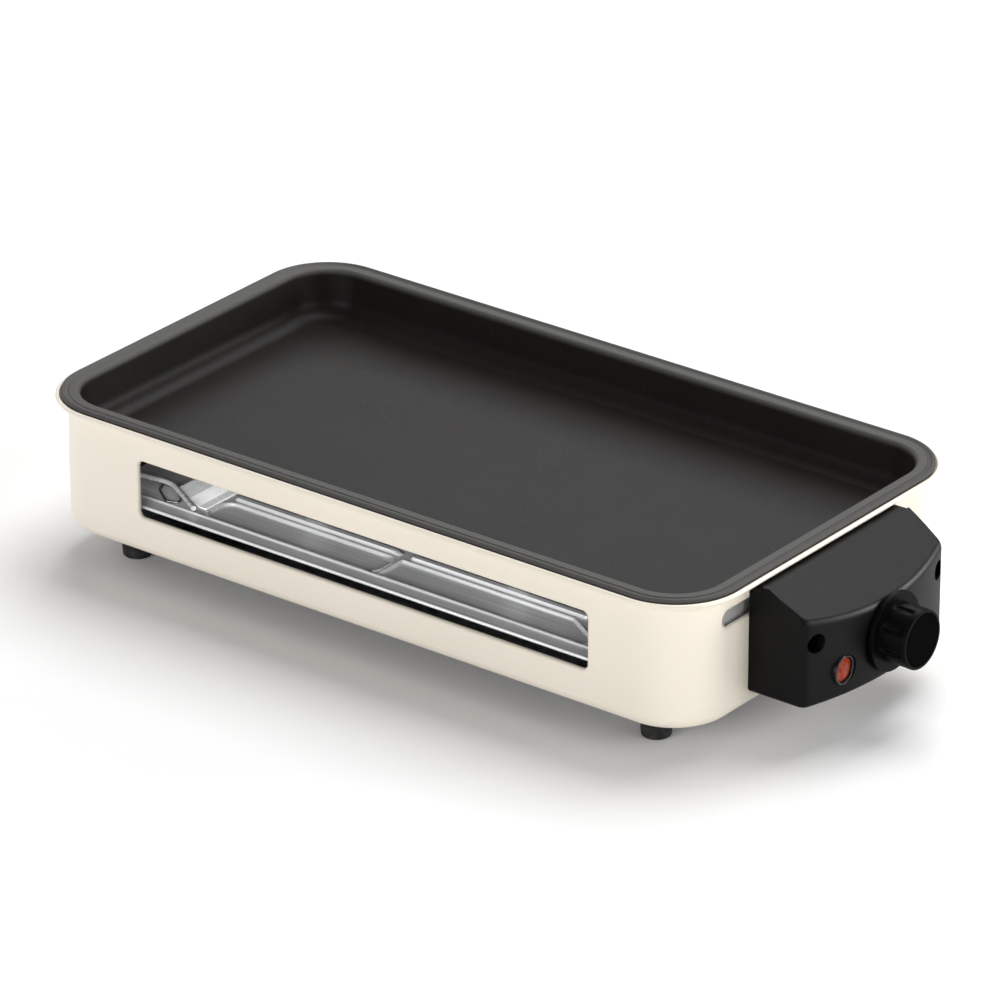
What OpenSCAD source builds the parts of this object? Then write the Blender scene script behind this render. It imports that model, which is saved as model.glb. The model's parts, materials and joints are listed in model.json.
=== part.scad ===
// Electric griddle: enamelled steel body, lift-off non-stick pan, tube heater, control box on one end.
// Millimetres. Z is up, the feet stand on Z = 0, and X runs along the length towards the control box.

/* [Body] */
// Length of the body wall, without the flared lip
body_length = 394.2; // [340:0.1:460]
// Depth of the body wall, front to back
body_depth = 215.7; // [180:0.1:260]
// Height of the top of the rolled lip above the table
body_top = 85.4; // [75:0.5:110]
// Height of the underside of the body above the table
body_bottom = 16.5; // [10:0.5:30]
// Outside radius of the vertical corners
corner_radius = 31; // [20:1:45]
// Thickness of the body steel
body_sheet = 1; // [0.6:0.1:1.5]
// How far the lip flares out beyond the wall
lip_reach = 6.3; // [3:0.1:9]

/* [Windows] */
// Length of each long side opening
window_length = 274.4; // [180:1:300]
// Height of each long side opening
window_height = 30.1; // [16:0.1:36]
// Height of the lower edge of the openings above the table
window_sill = 37.1; // [34:0.1:44]
// Length of the slot in the end wall
slot_length = 119.6; // [80:0.1:130]
// Height of the slot in the end wall
slot_height = 8.6; // [4:0.1:10]

/* [Pan] */
// Inside depth of the pan below its rim
pan_depth = 23.7; // [15:0.1:30]
// Thickness of the pan metal
pan_sheet = 1.5; // [1.2:0.1:2]
// Radius between the pan floor and its wall
pan_fillet = 10; // [6:0.5:14]
// Lean of the pan wall from the vertical
pan_draft = 9; // [4:0.5:14]

/* [Heater] */
// Outside diameter of the tubular heater
heater_diameter = 6.6; // [6:0.1:8]
// Height of the heater centre line above the table
heater_height = 57; // [50:0.1:58]

/* [Control box] */
// Width of the control box
box_width = 113.7; // [100:0.1:130]
// Thickness of the control box moulding
box_wall = 2.5; // [2:0.1:3]
// Diameter of the knob grip
knob_diameter = 30; // [24:0.5:36]
// Diameter of the flange behind the knob grip
knob_skirt = 40; // [34:0.5:44]
// Angle of the knob, 0 is off
knob_angle = 0; // [0:1:270]

/* [Feet] */
// Diameter of a foot where it meets the base
foot_diameter = 17; // [14:0.5:22]
// Spacing of the feet along the length
foot_spacing_x = 320; // [260:1:330]
// Spacing of the feet front to back
foot_spacing_y = 162.8; // [140:0.1:166]

/* [Hidden] */
$fn = 64;
eps = 0.01;

// The body stands this far back along X, so that the middle of the whole appliance is at the origin
body_x = -26.3;
// Corner centres shared by the body, the pan and the base plate
cx = body_length / 2 - corner_radius;
cy = body_depth / 2 - corner_radius;
wall_x = body_length / 2;
wall_y = body_depth / 2;
bottom_fillet = 6.5;
lip_bead = 1.2;
lip_rho = corner_radius + lip_reach - lip_bead;
flare = lip_rho - corner_radius;
flare_z = body_top - lip_bead - flare - body_sheet / 2;
window_x = 1;
window_z = window_sill + window_height / 2;
window_corner = 3;
window_roll = 1.6;
window_flange = 2.4;
slot_y = -19.9;
slot_z = 69.7;
slot_corner = 4;
slot_roll = 1.4;
slot_flange = 2.2;
capillary_z = 48.5;
bulb_end = 96;
bulb_z = 58.2;
earth_point = [-36, 52];

// Pan section, measured outward from the shared corner centres
pan_top = body_top + 1.3;
pan_floor = pan_top - pan_depth;
pan_edge = corner_radius + 2.6;
pan_curl = 1.3;
pan_curl_z = body_top + 0.5;
pan_bend = 0.6;
pan_bend_rho = corner_radius - 4;
pan_bend_z = pan_top - pan_sheet - pan_bend;
pan_normal = [cos(pan_draft), -sin(pan_draft)];
pan_arc_z = pan_floor + pan_fillet;
pan_arc_rho = pan_bend_rho - (pan_fillet + pan_bend + pan_sheet
  + (pan_bend_z - pan_arc_z) * sin(pan_draft)) / cos(pan_draft);

base_sheet = 0.8;
base_z = body_bottom + body_sheet;
base_top = base_z + base_sheet;
flange_rho = corner_radius - 16;
base_rho = corner_radius - 7;
seat_inner = corner_radius - 3.6;
seat_top = pan_top - pan_sheet;
seat_width = 16;

reflector_z = 38.4;
reflector_sheet = 0.6;
reflector_top = reflector_z + reflector_sheet;
reflector_half = [170, 100];
reflector_corner = 22;
rib_height = 1.5;
bead_height = 0.8;
panel_drop = 1;
shelf_height = 3.5;
loop_width = 1.2;
loop_height = 1.1;
basin_drop = 3;
basin_size = [284, 104];
basin_corner = 16;

element_r = heater_diameter / 2;
leg_outer = 70;
leg_inner = 30;
leg_end = -150;
middle_turn_x = 125;
bend_r = 15;
terminal_y = 16;
element_end_x = 203;
support_x = 62;
plate_x = 192.1;
plate_sheet = 1.2;

// The box sits a little to the front of the knob's axis
box_mid = -3.15;
box_half = box_width / 2;
box_front = 238.5;
box_arc = 173;
box_arc_x = box_front - box_arc;
box_corner = 5;
box_strip_x = 208.5;
box_top = 82;
box_bottom = 25;
box_slope = 0.57;
box_back = wall_x;
corner_rho = box_arc - box_corner;
corner_half = box_half - box_corner;
corner_x = box_arc_x + sqrt(corner_rho * corner_rho - corner_half * corner_half);
knob_y = -2;
knob_z = 47.5;
knob_back = 238.9;
knob_face = 256;
skirt_thickness = 2.2;
lamp_y = -32.85;
lamp_x = box_arc_x + sqrt(box_arc * box_arc - lamp_y * lamp_y);
lamp_z = 39;
bezel_depth = 5.4;
bezel_shoulder = 4.7;
recess_y = 49.85;
recess_z = 58;
recess_r = 5;
recess_floor = 205;
// Notch along the top of the box that keeps it clear of the flared lip
lip_gap = 1.9;
gland_x = 211;
gland_z = 38;
gland_r = 3.75;

// ---- helpers ----

module mirror_y() {
  children();
  mirror([0, 1, 0]) children();
}

module four_corners(x, y) {
  for (sx = [-1, 1])
    for (sy = [-1, 1])
      translate([sx * x, sy * y, 0]) children();
}

module rounded_rect(w, d, r) {
  square([w - 2 * r, d], center = true);
  square([w, d - 2 * r], center = true);
  for (sx = [-1, 1])
    for (sy = [-1, 1])
      translate([sx * (w / 2 - r), sy * (d / 2 - r)]) circle(r);
}

// Carries a section, drawn as distance from the corner centre and height, round a rectangle
module sweep_round(hx, hy) {
  for (k = [0:3])
    rotate([0, 0, 90 * k]) {
      ax = k % 2 == 0 ? hx : hy;
      ay = k % 2 == 0 ? hy : hx;
      translate([ax, ay, 0]) rotate_extrude(angle = 90) children();
      translate([ax, ay, 0]) rotate([90, 0, 0]) linear_extrude(2 * ay) children();
    }
}

// Part of a ring between two directions less than a half turn apart
module band(r1, r2, a1, a2) {
  far = 4 * r2;
  intersection() {
    difference() {
      circle(r2);
      circle(r1);
    }
    polygon([[0, 0], far * [cos(a1), sin(a1)], far * [cos((a1 + a2) / 2), sin((a1 + a2) / 2)],
      far * [cos(a2), sin(a2)]]);
  }
}

module along_x(x1, x2) {
  translate([x1, 0, 0]) rotate([90, 0, 90]) linear_extrude(x2 - x1) children();
}

module rod_x(x1, x2, r) {
  translate([x1, 0, 0]) rotate([0, 90, 0]) cylinder(h = x2 - x1, r = r);
}

module rod_y(y1, y2, r) {
  translate([0, y1, 0]) rotate([-90, 0, 0]) cylinder(h = y2 - y1, r = r);
}

// Round bar through a list of points, with ball corners a touch fuller than the bar
module bent_rod(points, r) {
  for (i = [0:len(points) - 2]) {
    p = points[i];
    d = points[i + 1] - p;
    span = norm(d);
    translate(p)
      rotate([0, acos(d[2] / span), atan2(d[1], d[0])])
        cylinder(h = span, r = r);
  }
  for (i = [1:len(points) - 2])
    translate(points[i]) sphere(r + 0.06);
}

module box_at(p, s) {
  translate(p) cube(s);
}

// ---- body ----

module housing_section() {
  translate([flange_rho, body_bottom])
    square([corner_radius - bottom_fillet - flange_rho, body_sheet]);
  translate([corner_radius - bottom_fillet, body_bottom + bottom_fillet])
    band(bottom_fillet - body_sheet, bottom_fillet, -90, 0);
  translate([corner_radius - body_sheet, body_bottom + bottom_fillet])
    square([body_sheet, flare_z - body_bottom - bottom_fillet]);
  translate([lip_rho, flare_z]) band(flare, flare + body_sheet, 90, 180);
  translate([lip_rho, body_top - lip_bead]) circle(lip_bead);
}

// Rolled edge of an opening, drawn as distance from its corner centre and depth into the body
module roll_section(r, roll, depth) {
  translate([r + roll, roll]) band(roll - body_sheet, roll, 180, 270);
  translate([r, roll]) square([body_sheet, depth - roll]);
}

module opening_cut(w, h, r, roll) {
  translate([0, 0, -2]) linear_extrude(8) rounded_rect(w + 2 * roll, h + 2 * roll, r + roll);
}

module opening_roll(w, h, r, roll, depth) {
  sweep_round(w / 2 - r, h / 2 - r) roll_section(r, roll, depth);
}

module at_front_window() {
  translate([window_x, -wall_y, window_z]) rotate([-90, 0, 0]) children();
}

module at_slot() {
  translate([wall_x, slot_y, slot_z]) rotate([0, 0, 90]) rotate([-90, 0, 0]) children();
}

module box_screw_holes(r, x1, x2) {
  for (s = [-1, 1])
    translate([0, box_mid + s * recess_y, recess_z]) rod_x(x1, x2, r);
}

// Holes through the end wall and plate for the heater ends, the sensor tube and the earth screw
module service_holes(x1, x2, heater_hole, tube_hole, earth_hole) {
  for (s = [-1, 1])
    translate([0, s * terminal_y, heater_height]) rod_x(x1, x2, heater_hole);
  translate([0, 0, capillary_z]) rod_x(x1, x2, tube_hole);
  translate([0, earth_point[0], earth_point[1]]) rod_x(x1, x2, earth_hole);
}

module housing() {
  color("#e8dfd0")
  translate([body_x, 0, 0]) {
    difference() {
      sweep_round(cx, cy) housing_section();
      mirror_y() at_front_window()
        opening_cut(window_length, window_height, window_corner, window_roll);
      at_slot() opening_cut(slot_length, slot_height, slot_corner, slot_roll);
      service_holes(wall_x - 3, wall_x + 2, element_r + 1.5, 4, 3.2);
      box_screw_holes(2.3, wall_x - 4, wall_x + 2);
      base_screw_places() translate([0, 0, body_bottom - 1]) cylinder(h = 4, r = 2.2);
    }
    mirror_y() at_front_window()
      opening_roll(window_length, window_height, window_corner, window_roll, window_flange);
    at_slot() opening_roll(slot_length, slot_height, slot_corner, slot_roll, slot_flange);
  }
}

module seat_section(foot_z) {
  translate([corner_radius - 2 * body_sheet, foot_z]) square([body_sheet, seat_top - foot_z]);
  translate([seat_inner, seat_top - body_sheet])
    square([corner_radius - body_sheet - seat_inner, body_sheet]);
}

module seat_bracket(foot_z) {
  rotate([90, 0, 0]) translate([0, 0, -seat_width / 2]) linear_extrude(seat_width) seat_section(foot_z);
}

module pan_seats() {
  color("#b9bcbe")
  translate([body_x, 0, 0]) {
    for (x = [-150, 150])
      mirror_y() translate([x, -cy, 0]) rotate([0, 0, -90]) seat_bracket(66);
    translate([-cx, 0, 0]) rotate([0, 0, 180]) seat_bracket(66);
    translate([cx, 0, 0]) seat_bracket(80.2);
  }
}

module base_screw_places() {
  rho = (flange_rho + base_rho) / 2 + 0.3;
  four_corners(95, cy + rho) children();
  for (s = [-1, 1])
    translate([s * (cx + rho), 0, 0]) children();
}

module base_plate() {
  slot_pitch = 22;
  color("#a9adaf")
  translate([body_x, 0, base_z]) linear_extrude(base_sheet) difference() {
    rounded_rect(2 * (cx + base_rho), 2 * (cy + base_rho), base_rho);
    for (i = [-5:5], s = [-1, 1])
      translate([i * slot_pitch, s * 42]) rounded_rect(7, 44, 3.4);
    four_corners(foot_spacing_x / 2, foot_spacing_y / 2) circle(2.3);
    base_screw_places() circle(2.2);
  }
}

module base_screws() {
  color("#c9cbcc")
  translate([body_x, 0, 0]) base_screw_places() {
    translate([0, 0, body_bottom - 2.2]) difference() {
      cylinder(h = 2.2, r1 = 3.1, r2 = 3.6);
      translate([-0.5, -2, -eps]) cube([1, 4, 1]);
      translate([-2, -0.5, -eps]) cube([4, 1, 1]);
    }
    translate([0, 0, body_bottom - eps]) cylinder(h = 6, r = 1.95);
  }
}

module feet() {
  foot_edge = 1.5;
  foot_toe = foot_diameter / 2 - 1;
  color("#161616")
  translate([body_x, 0, 0]) four_corners(foot_spacing_x / 2, foot_spacing_y / 2)
    rotate_extrude() difference() {
      union() {
        polygon([[0, 0], [foot_toe - foot_edge, 0], [foot_toe - foot_edge, foot_edge],
          [foot_toe, foot_edge], [foot_diameter / 2, base_z], [0, base_z]]);
        translate([foot_toe - foot_edge, foot_edge]) circle(foot_edge);
      }
      translate([-1, -1]) square([5, 10]);
      translate([-1, -1]) square([3.3, base_z + 2]);
    }
}

module foot_screws() {
  color("#c9cbcc")
  translate([body_x, 0, 0]) four_corners(foot_spacing_x / 2, foot_spacing_y / 2) {
    translate([0, 0, 6.6]) difference() {
      cylinder(h = 2.4, r = 3.7);
      translate([-0.5, -2, -eps]) cube([1, 4, 1.2]);
      translate([-2, -0.5, -eps]) cube([4, 1, 1.2]);
    }
    translate([0, 0, 9 - eps]) cylinder(h = base_top + 4.2 - 9, r = 2);
  }
}

module foot_nuts() {
  color("#c9cbcc")
  translate([body_x, 0, base_top]) four_corners(foot_spacing_x / 2, foot_spacing_y / 2)
    difference() {
      cylinder(h = 3.2, r = 4.05, $fn = 6);
      translate([0, 0, -1]) cylinder(h = 6, r = 2.02);
    }
}

// ---- reflector under the heater ----

// Outlines of the pressed panels of the front half
module panel_left() {
  polygon([[-104, -89.5], [-4, -89.5], [-4, -70.5], [-104, -70.5]]);
  translate([-110, -83.5]) square([8, 7]);
  translate([-104, -83.5]) circle(6);
  translate([-104, -76.5]) circle(6);
}

module panel_right() {
  polygon([[-1, -89.5], [123, -89.5], [123, -82.5], [103, -70.5], [-1, -70.5]]);
}

module strip_left() {
  translate([-57, -65.5]) rounded_rect(104, 5, 2.4);
}

module strip_right() {
  translate([54.75, -65.5]) rounded_rect(108.5, 5, 2.4);
}

module basin() {
  rounded_rect(basin_size[0], basin_size[1], basin_corner);
}

module reflector() {
  color("#c4c6c8")
  translate([body_x, 0, 0]) {
    difference() {
      translate([0, 0, reflector_z]) linear_extrude(reflector_sheet)
        rounded_rect(2 * reflector_half[0], 2 * reflector_half[1], reflector_corner);
      mirror_y() {
        translate([0, 0, reflector_z - 1]) linear_extrude(4) panel_left();
        translate([0, 0, reflector_z - 1]) linear_extrude(4) panel_right();
      }
      translate([0, 0, reflector_z - 1]) linear_extrude(4) basin();
    }
    mirror_y() {
      panel_tray() panel_left();
      panel_tray() panel_right();
      strip_rib() strip_left();
      strip_rib() strip_right();
      front_bead();
      rolled_edge();
    }
    basin_tray();
    for (s = [0, 180])
      rotate([0, 0, s]) reflector_leg();
  }
}

// A shallow recessed panel, closed by its own side walls
module panel_tray() {
  translate([0, 0, reflector_z - panel_drop]) linear_extrude(reflector_sheet) children();
  translate([0, 0, reflector_z - panel_drop]) linear_extrude(panel_drop + reflector_sheet)
    outline_rim() children();
}

// The outermost band of an outline, as wide as the sheet is thick
module outline_rim() {
  difference() {
    children();
    intersection() {
      translate([reflector_sheet, 0]) children();
      translate([-reflector_sheet, 0]) children();
      translate([0, reflector_sheet]) children();
      translate([0, -reflector_sheet]) children();
    }
  }
}

module strip_rib() {
  translate([0, 0, reflector_top - eps]) linear_extrude(rib_height) children();
}

// A low bead along the sheet, between the panels and the rolled edge
module front_bead() {
  translate([0, -91.5, reflector_top - eps]) linear_extrude(bead_height) rounded_rect(300, 1.6, 0.75);
}

module rolled_edge() {
  span = reflector_half[0] - reflector_corner;
  translate([0, -reflector_half[1], reflector_z + 0.1]) rod_x(-span, span, 0.9);
}

module basin_tray() {
  wall = reflector_sheet;
  translate([0, 0, reflector_z - basin_drop]) linear_extrude(wall) basin();
  translate([0, 0, reflector_z - basin_drop]) linear_extrude(basin_drop + wall) difference() {
    basin();
    rounded_rect(basin_size[0] - 2 * wall, basin_size[1] - 2 * wall, basin_corner - wall);
  }
}

module reflector_leg() {
  leg_x = 165;
  box_at([leg_x - reflector_sheet, -70, base_top],
    [reflector_sheet, 140, reflector_z - base_top + 0.3]);
  box_at([leg_x - reflector_sheet, -70, base_top], [11, 140, reflector_sheet]);
}

// Two straight runs that meet in a smooth turn a hair thinner, level all the way
module reflector_wire() {
  start = [-172, -80];
  corner = [-141, -76.2];
  end = [-114.2, -92.2];
  turn_r = 6;
  wire_r = 1.3;
  overlap = 0.15;
  first = corner - start;
  last = end - corner;
  a1 = atan2(first[1], first[0]);
  a2 = atan2(last[1], last[0]);
  reach = turn_r * tan((a1 - a2) / 2);
  color("#4a4a4c")
  translate([body_x + corner[0], corner[1], 42.2]) {
    rotate([0, 0, a1]) rod_x(-norm(first), overlap - reach, wire_r);
    rotate([0, 0, a2]) rod_x(reach - overlap, norm(last), wire_r);
    rotate([0, 0, a1]) translate([-reach, -turn_r, 0])
      rotate([0, 0, 90 + a2 - a1]) rotate_extrude(angle = a1 - a2)
        translate([turn_r, 0]) circle(wire_r - 0.04);
  }
}

// A stretched six-sided loop of flat wire that lies on the sheet
module wire_loop() {
  corners = [[-144.8, -81.6], [-147.1, -76], [-140.8, -74.5], [-129.5, -83.2], [-128, -87.5],
    [-134, -89.8]];
  color("#56565a")
  translate([body_x, 0, reflector_top + 0.05]) linear_extrude(loop_height)
    for (i = [0:5]) {
      side = corners[(i + 1) % 6] - corners[i];
      translate(corners[i]) circle(loop_width / 2);
      translate(corners[i]) rotate(atan2(side[1], side[0]))
        translate([0, -loop_width / 2]) square([norm(side), loop_width]);
    }
}

// A raised shelf with a ramp down to the sheet
module reflector_clip() {
  color("#d9dadb")
  translate([body_x, 0, reflector_top]) {
    translate([0, 0, shelf_height - reflector_sheet]) linear_extrude(reflector_sheet)
      polygon([[-135.4, -77.6], [-122.6, -84.7], [-122.6, -60], [-135.4, -60]]);
    box_at([-135.4, -76, 0], [reflector_sheet, 16, shelf_height]);
    translate([0, -60, 0]) rotate([90, 0, 0]) linear_extrude(24.7)
      polygon([[-122.7, shelf_height], [-117.2, 0.6], [-112.5, 0.6], [-112.5, 0], [-117.4, 0],
        [-122.7, shelf_height - 0.7]]);
  }
}

// ---- heater ----

module tube_turn(r, a1, a2) {
  rotate([0, 0, a1]) rotate_extrude(angle = a2 - a1) translate([r, 0]) circle(element_r);
}

module heating_element() {
  turn_r = (leg_outer - leg_inner) / 2;
  outer_end = 165 - bend_r;
  color("#3b3a39")
  translate([body_x, 0, heater_height]) {
    translate([middle_turn_x, 0, 0]) tube_turn(leg_inner, -90, 90);
    mirror_y() {
      translate([0, leg_inner, 0]) rod_x(leg_end, middle_turn_x, element_r);
      translate([leg_end, (leg_outer + leg_inner) / 2, 0]) tube_turn(turn_r, 90, 270);
      translate([0, leg_outer, 0]) rod_x(leg_end, outer_end, element_r);
      translate([outer_end, leg_outer - bend_r, 0]) tube_turn(bend_r, 0, 90);
      translate([outer_end + bend_r, 0, 0]) rod_y(terminal_y + bend_r, leg_outer - bend_r, element_r);
      translate([outer_end + 2 * bend_r, terminal_y + bend_r, 0]) tube_turn(bend_r, 180, 270);
      translate([0, terminal_y, 0]) rod_x(outer_end + 2 * bend_r, element_end_x, element_r);
    }
  }
}

module at_terminals() {
  translate([body_x, 0, heater_height])
    for (s = [-1, 1])
      translate([0, s * terminal_y, 0]) children();
}

module element_seals() {
  color("#e9e4d8")
  at_terminals() difference() {
    rod_x(element_end_x, element_end_x + 3.5, element_r);
    rod_x(element_end_x - 1, element_end_x + 5, 1.55);
  }
}

module element_pins() {
  color("#b8b2a4")
  at_terminals() {
    rod_x(element_end_x, element_end_x + 6, 1.5);
    box_at([element_end_x + 6 - eps, -0.4, -3.15], [9, 0.8, 6.3]);
  }
}

module element_bushings() {
  color("#c9cbcc")
  at_terminals() difference() {
    rod_x(plate_x - 2, plate_x, 6.2);
    rod_x(plate_x - 3, plate_x + 1, element_r + 0.05);
  }
}

module support_saddle() {
  r1 = element_r + 0.1;
  rotate([90, 0, 90]) translate([0, 0, -4]) linear_extrude(8) {
    band(r1, r1 + 0.7, 0, 90);
    band(r1, r1 + 0.7, 90, 180);
    for (s = [-1, 1])
      translate([s * (r1 + 0.35) - 0.35, -element_r]) square([0.7, element_r + eps]);
  }
}

module element_supports() {
  bar_top = heater_height - element_r;
  leg_y = 60;
  color("#a7aaac")
  translate([body_x, 0, 0])
    for (sx = [-1, 1]) translate([sx * support_x, 0, 0]) {
      box_at([-6, -77, bar_top - 1], [12, 154, 1]);
      mirror_y() {
        box_at([-6, leg_y, reflector_top], [12, 1, bar_top - reflector_top - 0.5]);
        box_at([-6, leg_y - 5, reflector_top], [12, 5.5, 0.8]);
        for (y = [leg_inner, leg_outer])
          translate([0, y, heater_height]) support_saddle();
      }
    }
}

// ---- end plate and control box ----

module mounting_plate() {
  plate_half = 84;
  color("#cfd2d4")
  translate([body_x, 0, 0]) difference() {
    union() {
      box_at([plate_x, -plate_half, 22], [plate_sheet, 2 * plate_half, 57]);
      box_at([plate_x, -66, 77.8], [wall_x - body_sheet - 0.05 - plate_x, 132, plate_sheet]);
      box_at([plate_x, -66, 26], [wall_x - body_sheet - 0.05 - plate_x, 132, plate_sheet]);
    }
    service_holes(plate_x - 2, plate_x + 4, element_r + 0.2, 3, 1.8);
    box_screw_holes(2.05, plate_x - 2, plate_x + 4);
  }
}

// Plan outline of the control box, shrunk by the given wall
module box_plan(inset) {
  half_angle = asin(corner_half / corner_rho);
  far = 2 * box_arc;
  translate([0, box_mid]) {
    translate([box_back - 2, -box_half + inset])
      square([corner_x - box_back + 2, 2 * (box_half - inset)]);
    intersection() {
      translate([box_arc_x, 0]) circle(box_arc - inset);
      polygon([[box_arc_x, 0], [box_arc_x + far * cos(half_angle), -far * sin(half_angle)],
        [box_arc_x + far * cos(half_angle), far * sin(half_angle)]]);
    }
    for (s = [-1, 1])
      translate([corner_x, s * corner_half]) circle(box_corner - inset);
  }
}

// Side outline of the control box, shrunk by the given wall
module box_side(inset) {
  x2 = 260;
  slope_x = box_strip_x;
  top = box_top - inset;
  drop = box_slope * (x2 - slope_x);
  polygon([[box_back - 2, box_bottom + inset], [x2, box_bottom + inset], [x2, top - drop],
    [slope_x, top], [box_back - 2, top]]);
}

module box_solid(inset) {
  intersection() {
    translate([0, 0, box_bottom - 5])
      linear_extrude(box_top - box_bottom + 10) box_plan(inset);
    translate([0, box_mid + box_half + 5, 0]) rotate([90, 0, 0])
      linear_extrude(box_width + 10) box_side(inset);
  }
}

module at_knob() {
  translate([body_x, knob_y, knob_z]) children();
}

// The lamp's axis runs along X, and its origin is on the bowed front
module at_lamp() {
  translate([body_x + lamp_x, box_mid + lamp_y, lamp_z]) children();
}

module control_box() {
  color("#1d1d1e")
  difference() {
    translate([body_x, 0, 0]) intersection() {
      box_solid(0);
      box_at([box_back + 0.05, -100, 0], [100, 200, 100]);
    }
    translate([body_x, 0, 0]) {
      difference() {
        box_solid(box_wall);
        box_screw_holes(recess_r + 1.5, box_back, 260);
      }
      box_at([box_back - 1, -100, flare_z - 0.7], [1 + lip_gap, 200, 20]);
      box_screw_holes(recess_r, recess_floor, 260);
      box_screw_holes(2.2, box_back - 5, 260);
      translate([gland_x, box_mid + box_half - 5, gland_z]) rod_y(0, 10, 6.05);
    }
    at_knob() rod_x(230, 250, 5.2);
    at_knob() for (s = [-1, 1]) translate([0, s * 14, 0]) {
      rod_x(230, 250, 1.7);
      translate([236.6, 0, 0]) rotate([0, 90, 0]) cylinder(h = 4, r1 = 1.7, r2 = 5.7);
    }
    at_lamp() rod_x(-6, 6, 7.6);
  }
}

module box_screws() {
  color("#c9cbcc")
  translate([body_x, 0, 0])
    for (s = [-1, 1])
      translate([0, box_mid + s * recess_y, recess_z]) {
        rod_x(plate_x - 3, recess_floor + eps, 1.98);
        difference() {
          rod_x(recess_floor, recess_floor + 2.8, 3.9);
          box_at([recess_floor + 1.6, -0.5, -2.2], [2, 1, 4.4]);
          box_at([recess_floor + 1.6, -2.2, -0.5], [2, 4.4, 1]);
        }
      }
}

module heat_shield() {
  shield_height = 50.6;
  color("#b4a98c")
  translate([body_x, 0, 0]) difference() {
    box_at([box_back + 0.1, box_mid - box_half + box_wall + 0.2, box_bottom + box_wall + 0.2],
      [1, box_width - 2 * box_wall - 0.4, shield_height]);
    service_holes(box_back - 1, box_back + 3, element_r + 0.3, 3, 3);
    box_screw_holes(recess_r + 1.7, box_back - 1, box_back + 3);
  }
}

module thermostat_body() {
  color("#e6e0d2")
  at_knob() difference() {
    union() {
      box_at([213, -13, -14], [13, 26, 28]);
      rod_x(226 - eps, 231.2, 9);
      rod_x(231.2 - eps, 236.8, 4.6);
    }
    rod_x(222, 240, 3.05);
  }
}

module thermostat_bracket() {
  color("#b9bcbe")
  at_knob() difference() {
    box_at([231.4, -18, -11], [1.2, 36, 22]);
    rod_x(230, 234, 4.7);
    for (s = [-1, 1]) translate([0, s * 14, 0]) rod_x(230, 234, 1.55);
  }
}

module thermostat_screws() {
  color("#c9cbcc")
  at_knob() for (s = [-1, 1]) translate([0, s * 14, 0]) difference() {
    union() {
      rod_x(230.6, 237, 1.5);
      translate([236.4, 0, 0]) rotate([0, 90, 0]) cylinder(h = 1.3, r1 = 1.5, r2 = 2.8);
    }
    box_at([237.2, -0.35, -1.8], [1, 0.7, 3.6]);
    box_at([237.2, -1.8, -0.35], [1, 3.6, 0.7]);
  }
}

module thermostat_shaft() {
  color("#b8bcbf")
  at_knob() rotate([knob_angle, 0, 0]) difference() {
    rod_x(222.5, 250.5, 3);
    box_at([240.5, 1.6, -5], [12, 5, 10]);
  }
}

module sensor_bulb() {
  color("#b5723c")
  translate([body_x, 0, bulb_z]) rod_x(bulb_end - 36, bulb_end, 2.6);
}

module capillary() {
  color("#b5723c")
  translate([body_x, 0, 0])
    bent_rod([[bulb_end, 0, bulb_z], [104, 0, bulb_z], [110, 0, capillary_z], [201, 0, capillary_z],
      [212.2, 6, 43]], 0.8);
}

// ---- knob ----

module knob() {
  flutes = 12;
  flute_r = 4;
  grip_r = knob_diameter / 2;
  color("#141414")
  at_knob() rotate([knob_angle, 0, 0]) difference() {
    union() {
      rod_x(knob_back, knob_back + skirt_thickness, knob_skirt / 2);
      rod_x(knob_back, knob_face, grip_r);
    }
    for (i = [0:flutes - 1])
      rotate([360 / flutes * (i + 0.5), 0, 0]) translate([0, 0, grip_r + flute_r - 0.9])
        rod_x(knob_back + skirt_thickness, knob_face - 2.6, flute_r);
    rod_x(knob_face - 0.8, knob_face + 1, grip_r - 1.6);
    difference() {
      rod_x(knob_back - 1, 253, 12);
      rod_x(knob_back - 2, 254, 6);
    }
    rod_x(knob_back - 1, 250.8, 3.05);
  }
}

module knob_cap() {
  color("#202021")
  at_knob() rotate([knob_angle, 0, 0])
    rod_x(knob_face - 0.8, knob_face - 0.25, knob_diameter / 2 - 1.65);
}

module knob_clip() {
  color("#b9bcbe")
  at_knob() rotate([knob_angle, 0, 0]) translate([242, 1.75, -1.8]) cube([7, 0.6, 3.6]);
}

// ---- lamp ----

module lamp_bezel() {
  color("#0f0f10")
  at_lamp() difference() {
    union() {
      rod_x(-bezel_depth, 0.5, 7.5);
      rod_x(-bezel_depth, -bezel_shoulder, 8.4);
    }
    rod_x(-bezel_depth - 1, 2, 6.1);
  }
}

module lamp_lens() {
  lens_r = 6;
  dome_r = 17;
  dome_top = 0.3;
  color("#c8402a")
  at_lamp() rotate([0, 90, 0]) rotate_extrude($fn = 96) intersection() {
    translate([0, -2.6]) square([lens_r, 4]);
    translate([0, dome_top - dome_r]) circle(dome_r, $fn = 360);
  }
}

module lamp_body() {
  color("#26262a")
  at_lamp() difference() {
    rod_x(-16, -bezel_depth - 0.05, 7);
    rod_x(-14.5, -2, 5.6);
  }
}

module neon_bulb() {
  color("#f0b090")
  at_lamp() {
    rod_x(-13, -6, 2.8);
    translate([-6, 0, 0]) sphere(2.8);
  }
}

// ---- cord entry ----

module cord_gland() {
  color("#141414")
  translate([body_x + gland_x, box_mid + box_half, gland_z]) difference() {
    union() {
      rod_y(-4.5, 1.8, 6);
      rod_y(0.05, 1.8, 8);
      rod_y(-4.5, -box_wall - 0.05, 8);
    }
    rod_y(-6, 4, gland_r);
  }
}

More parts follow.
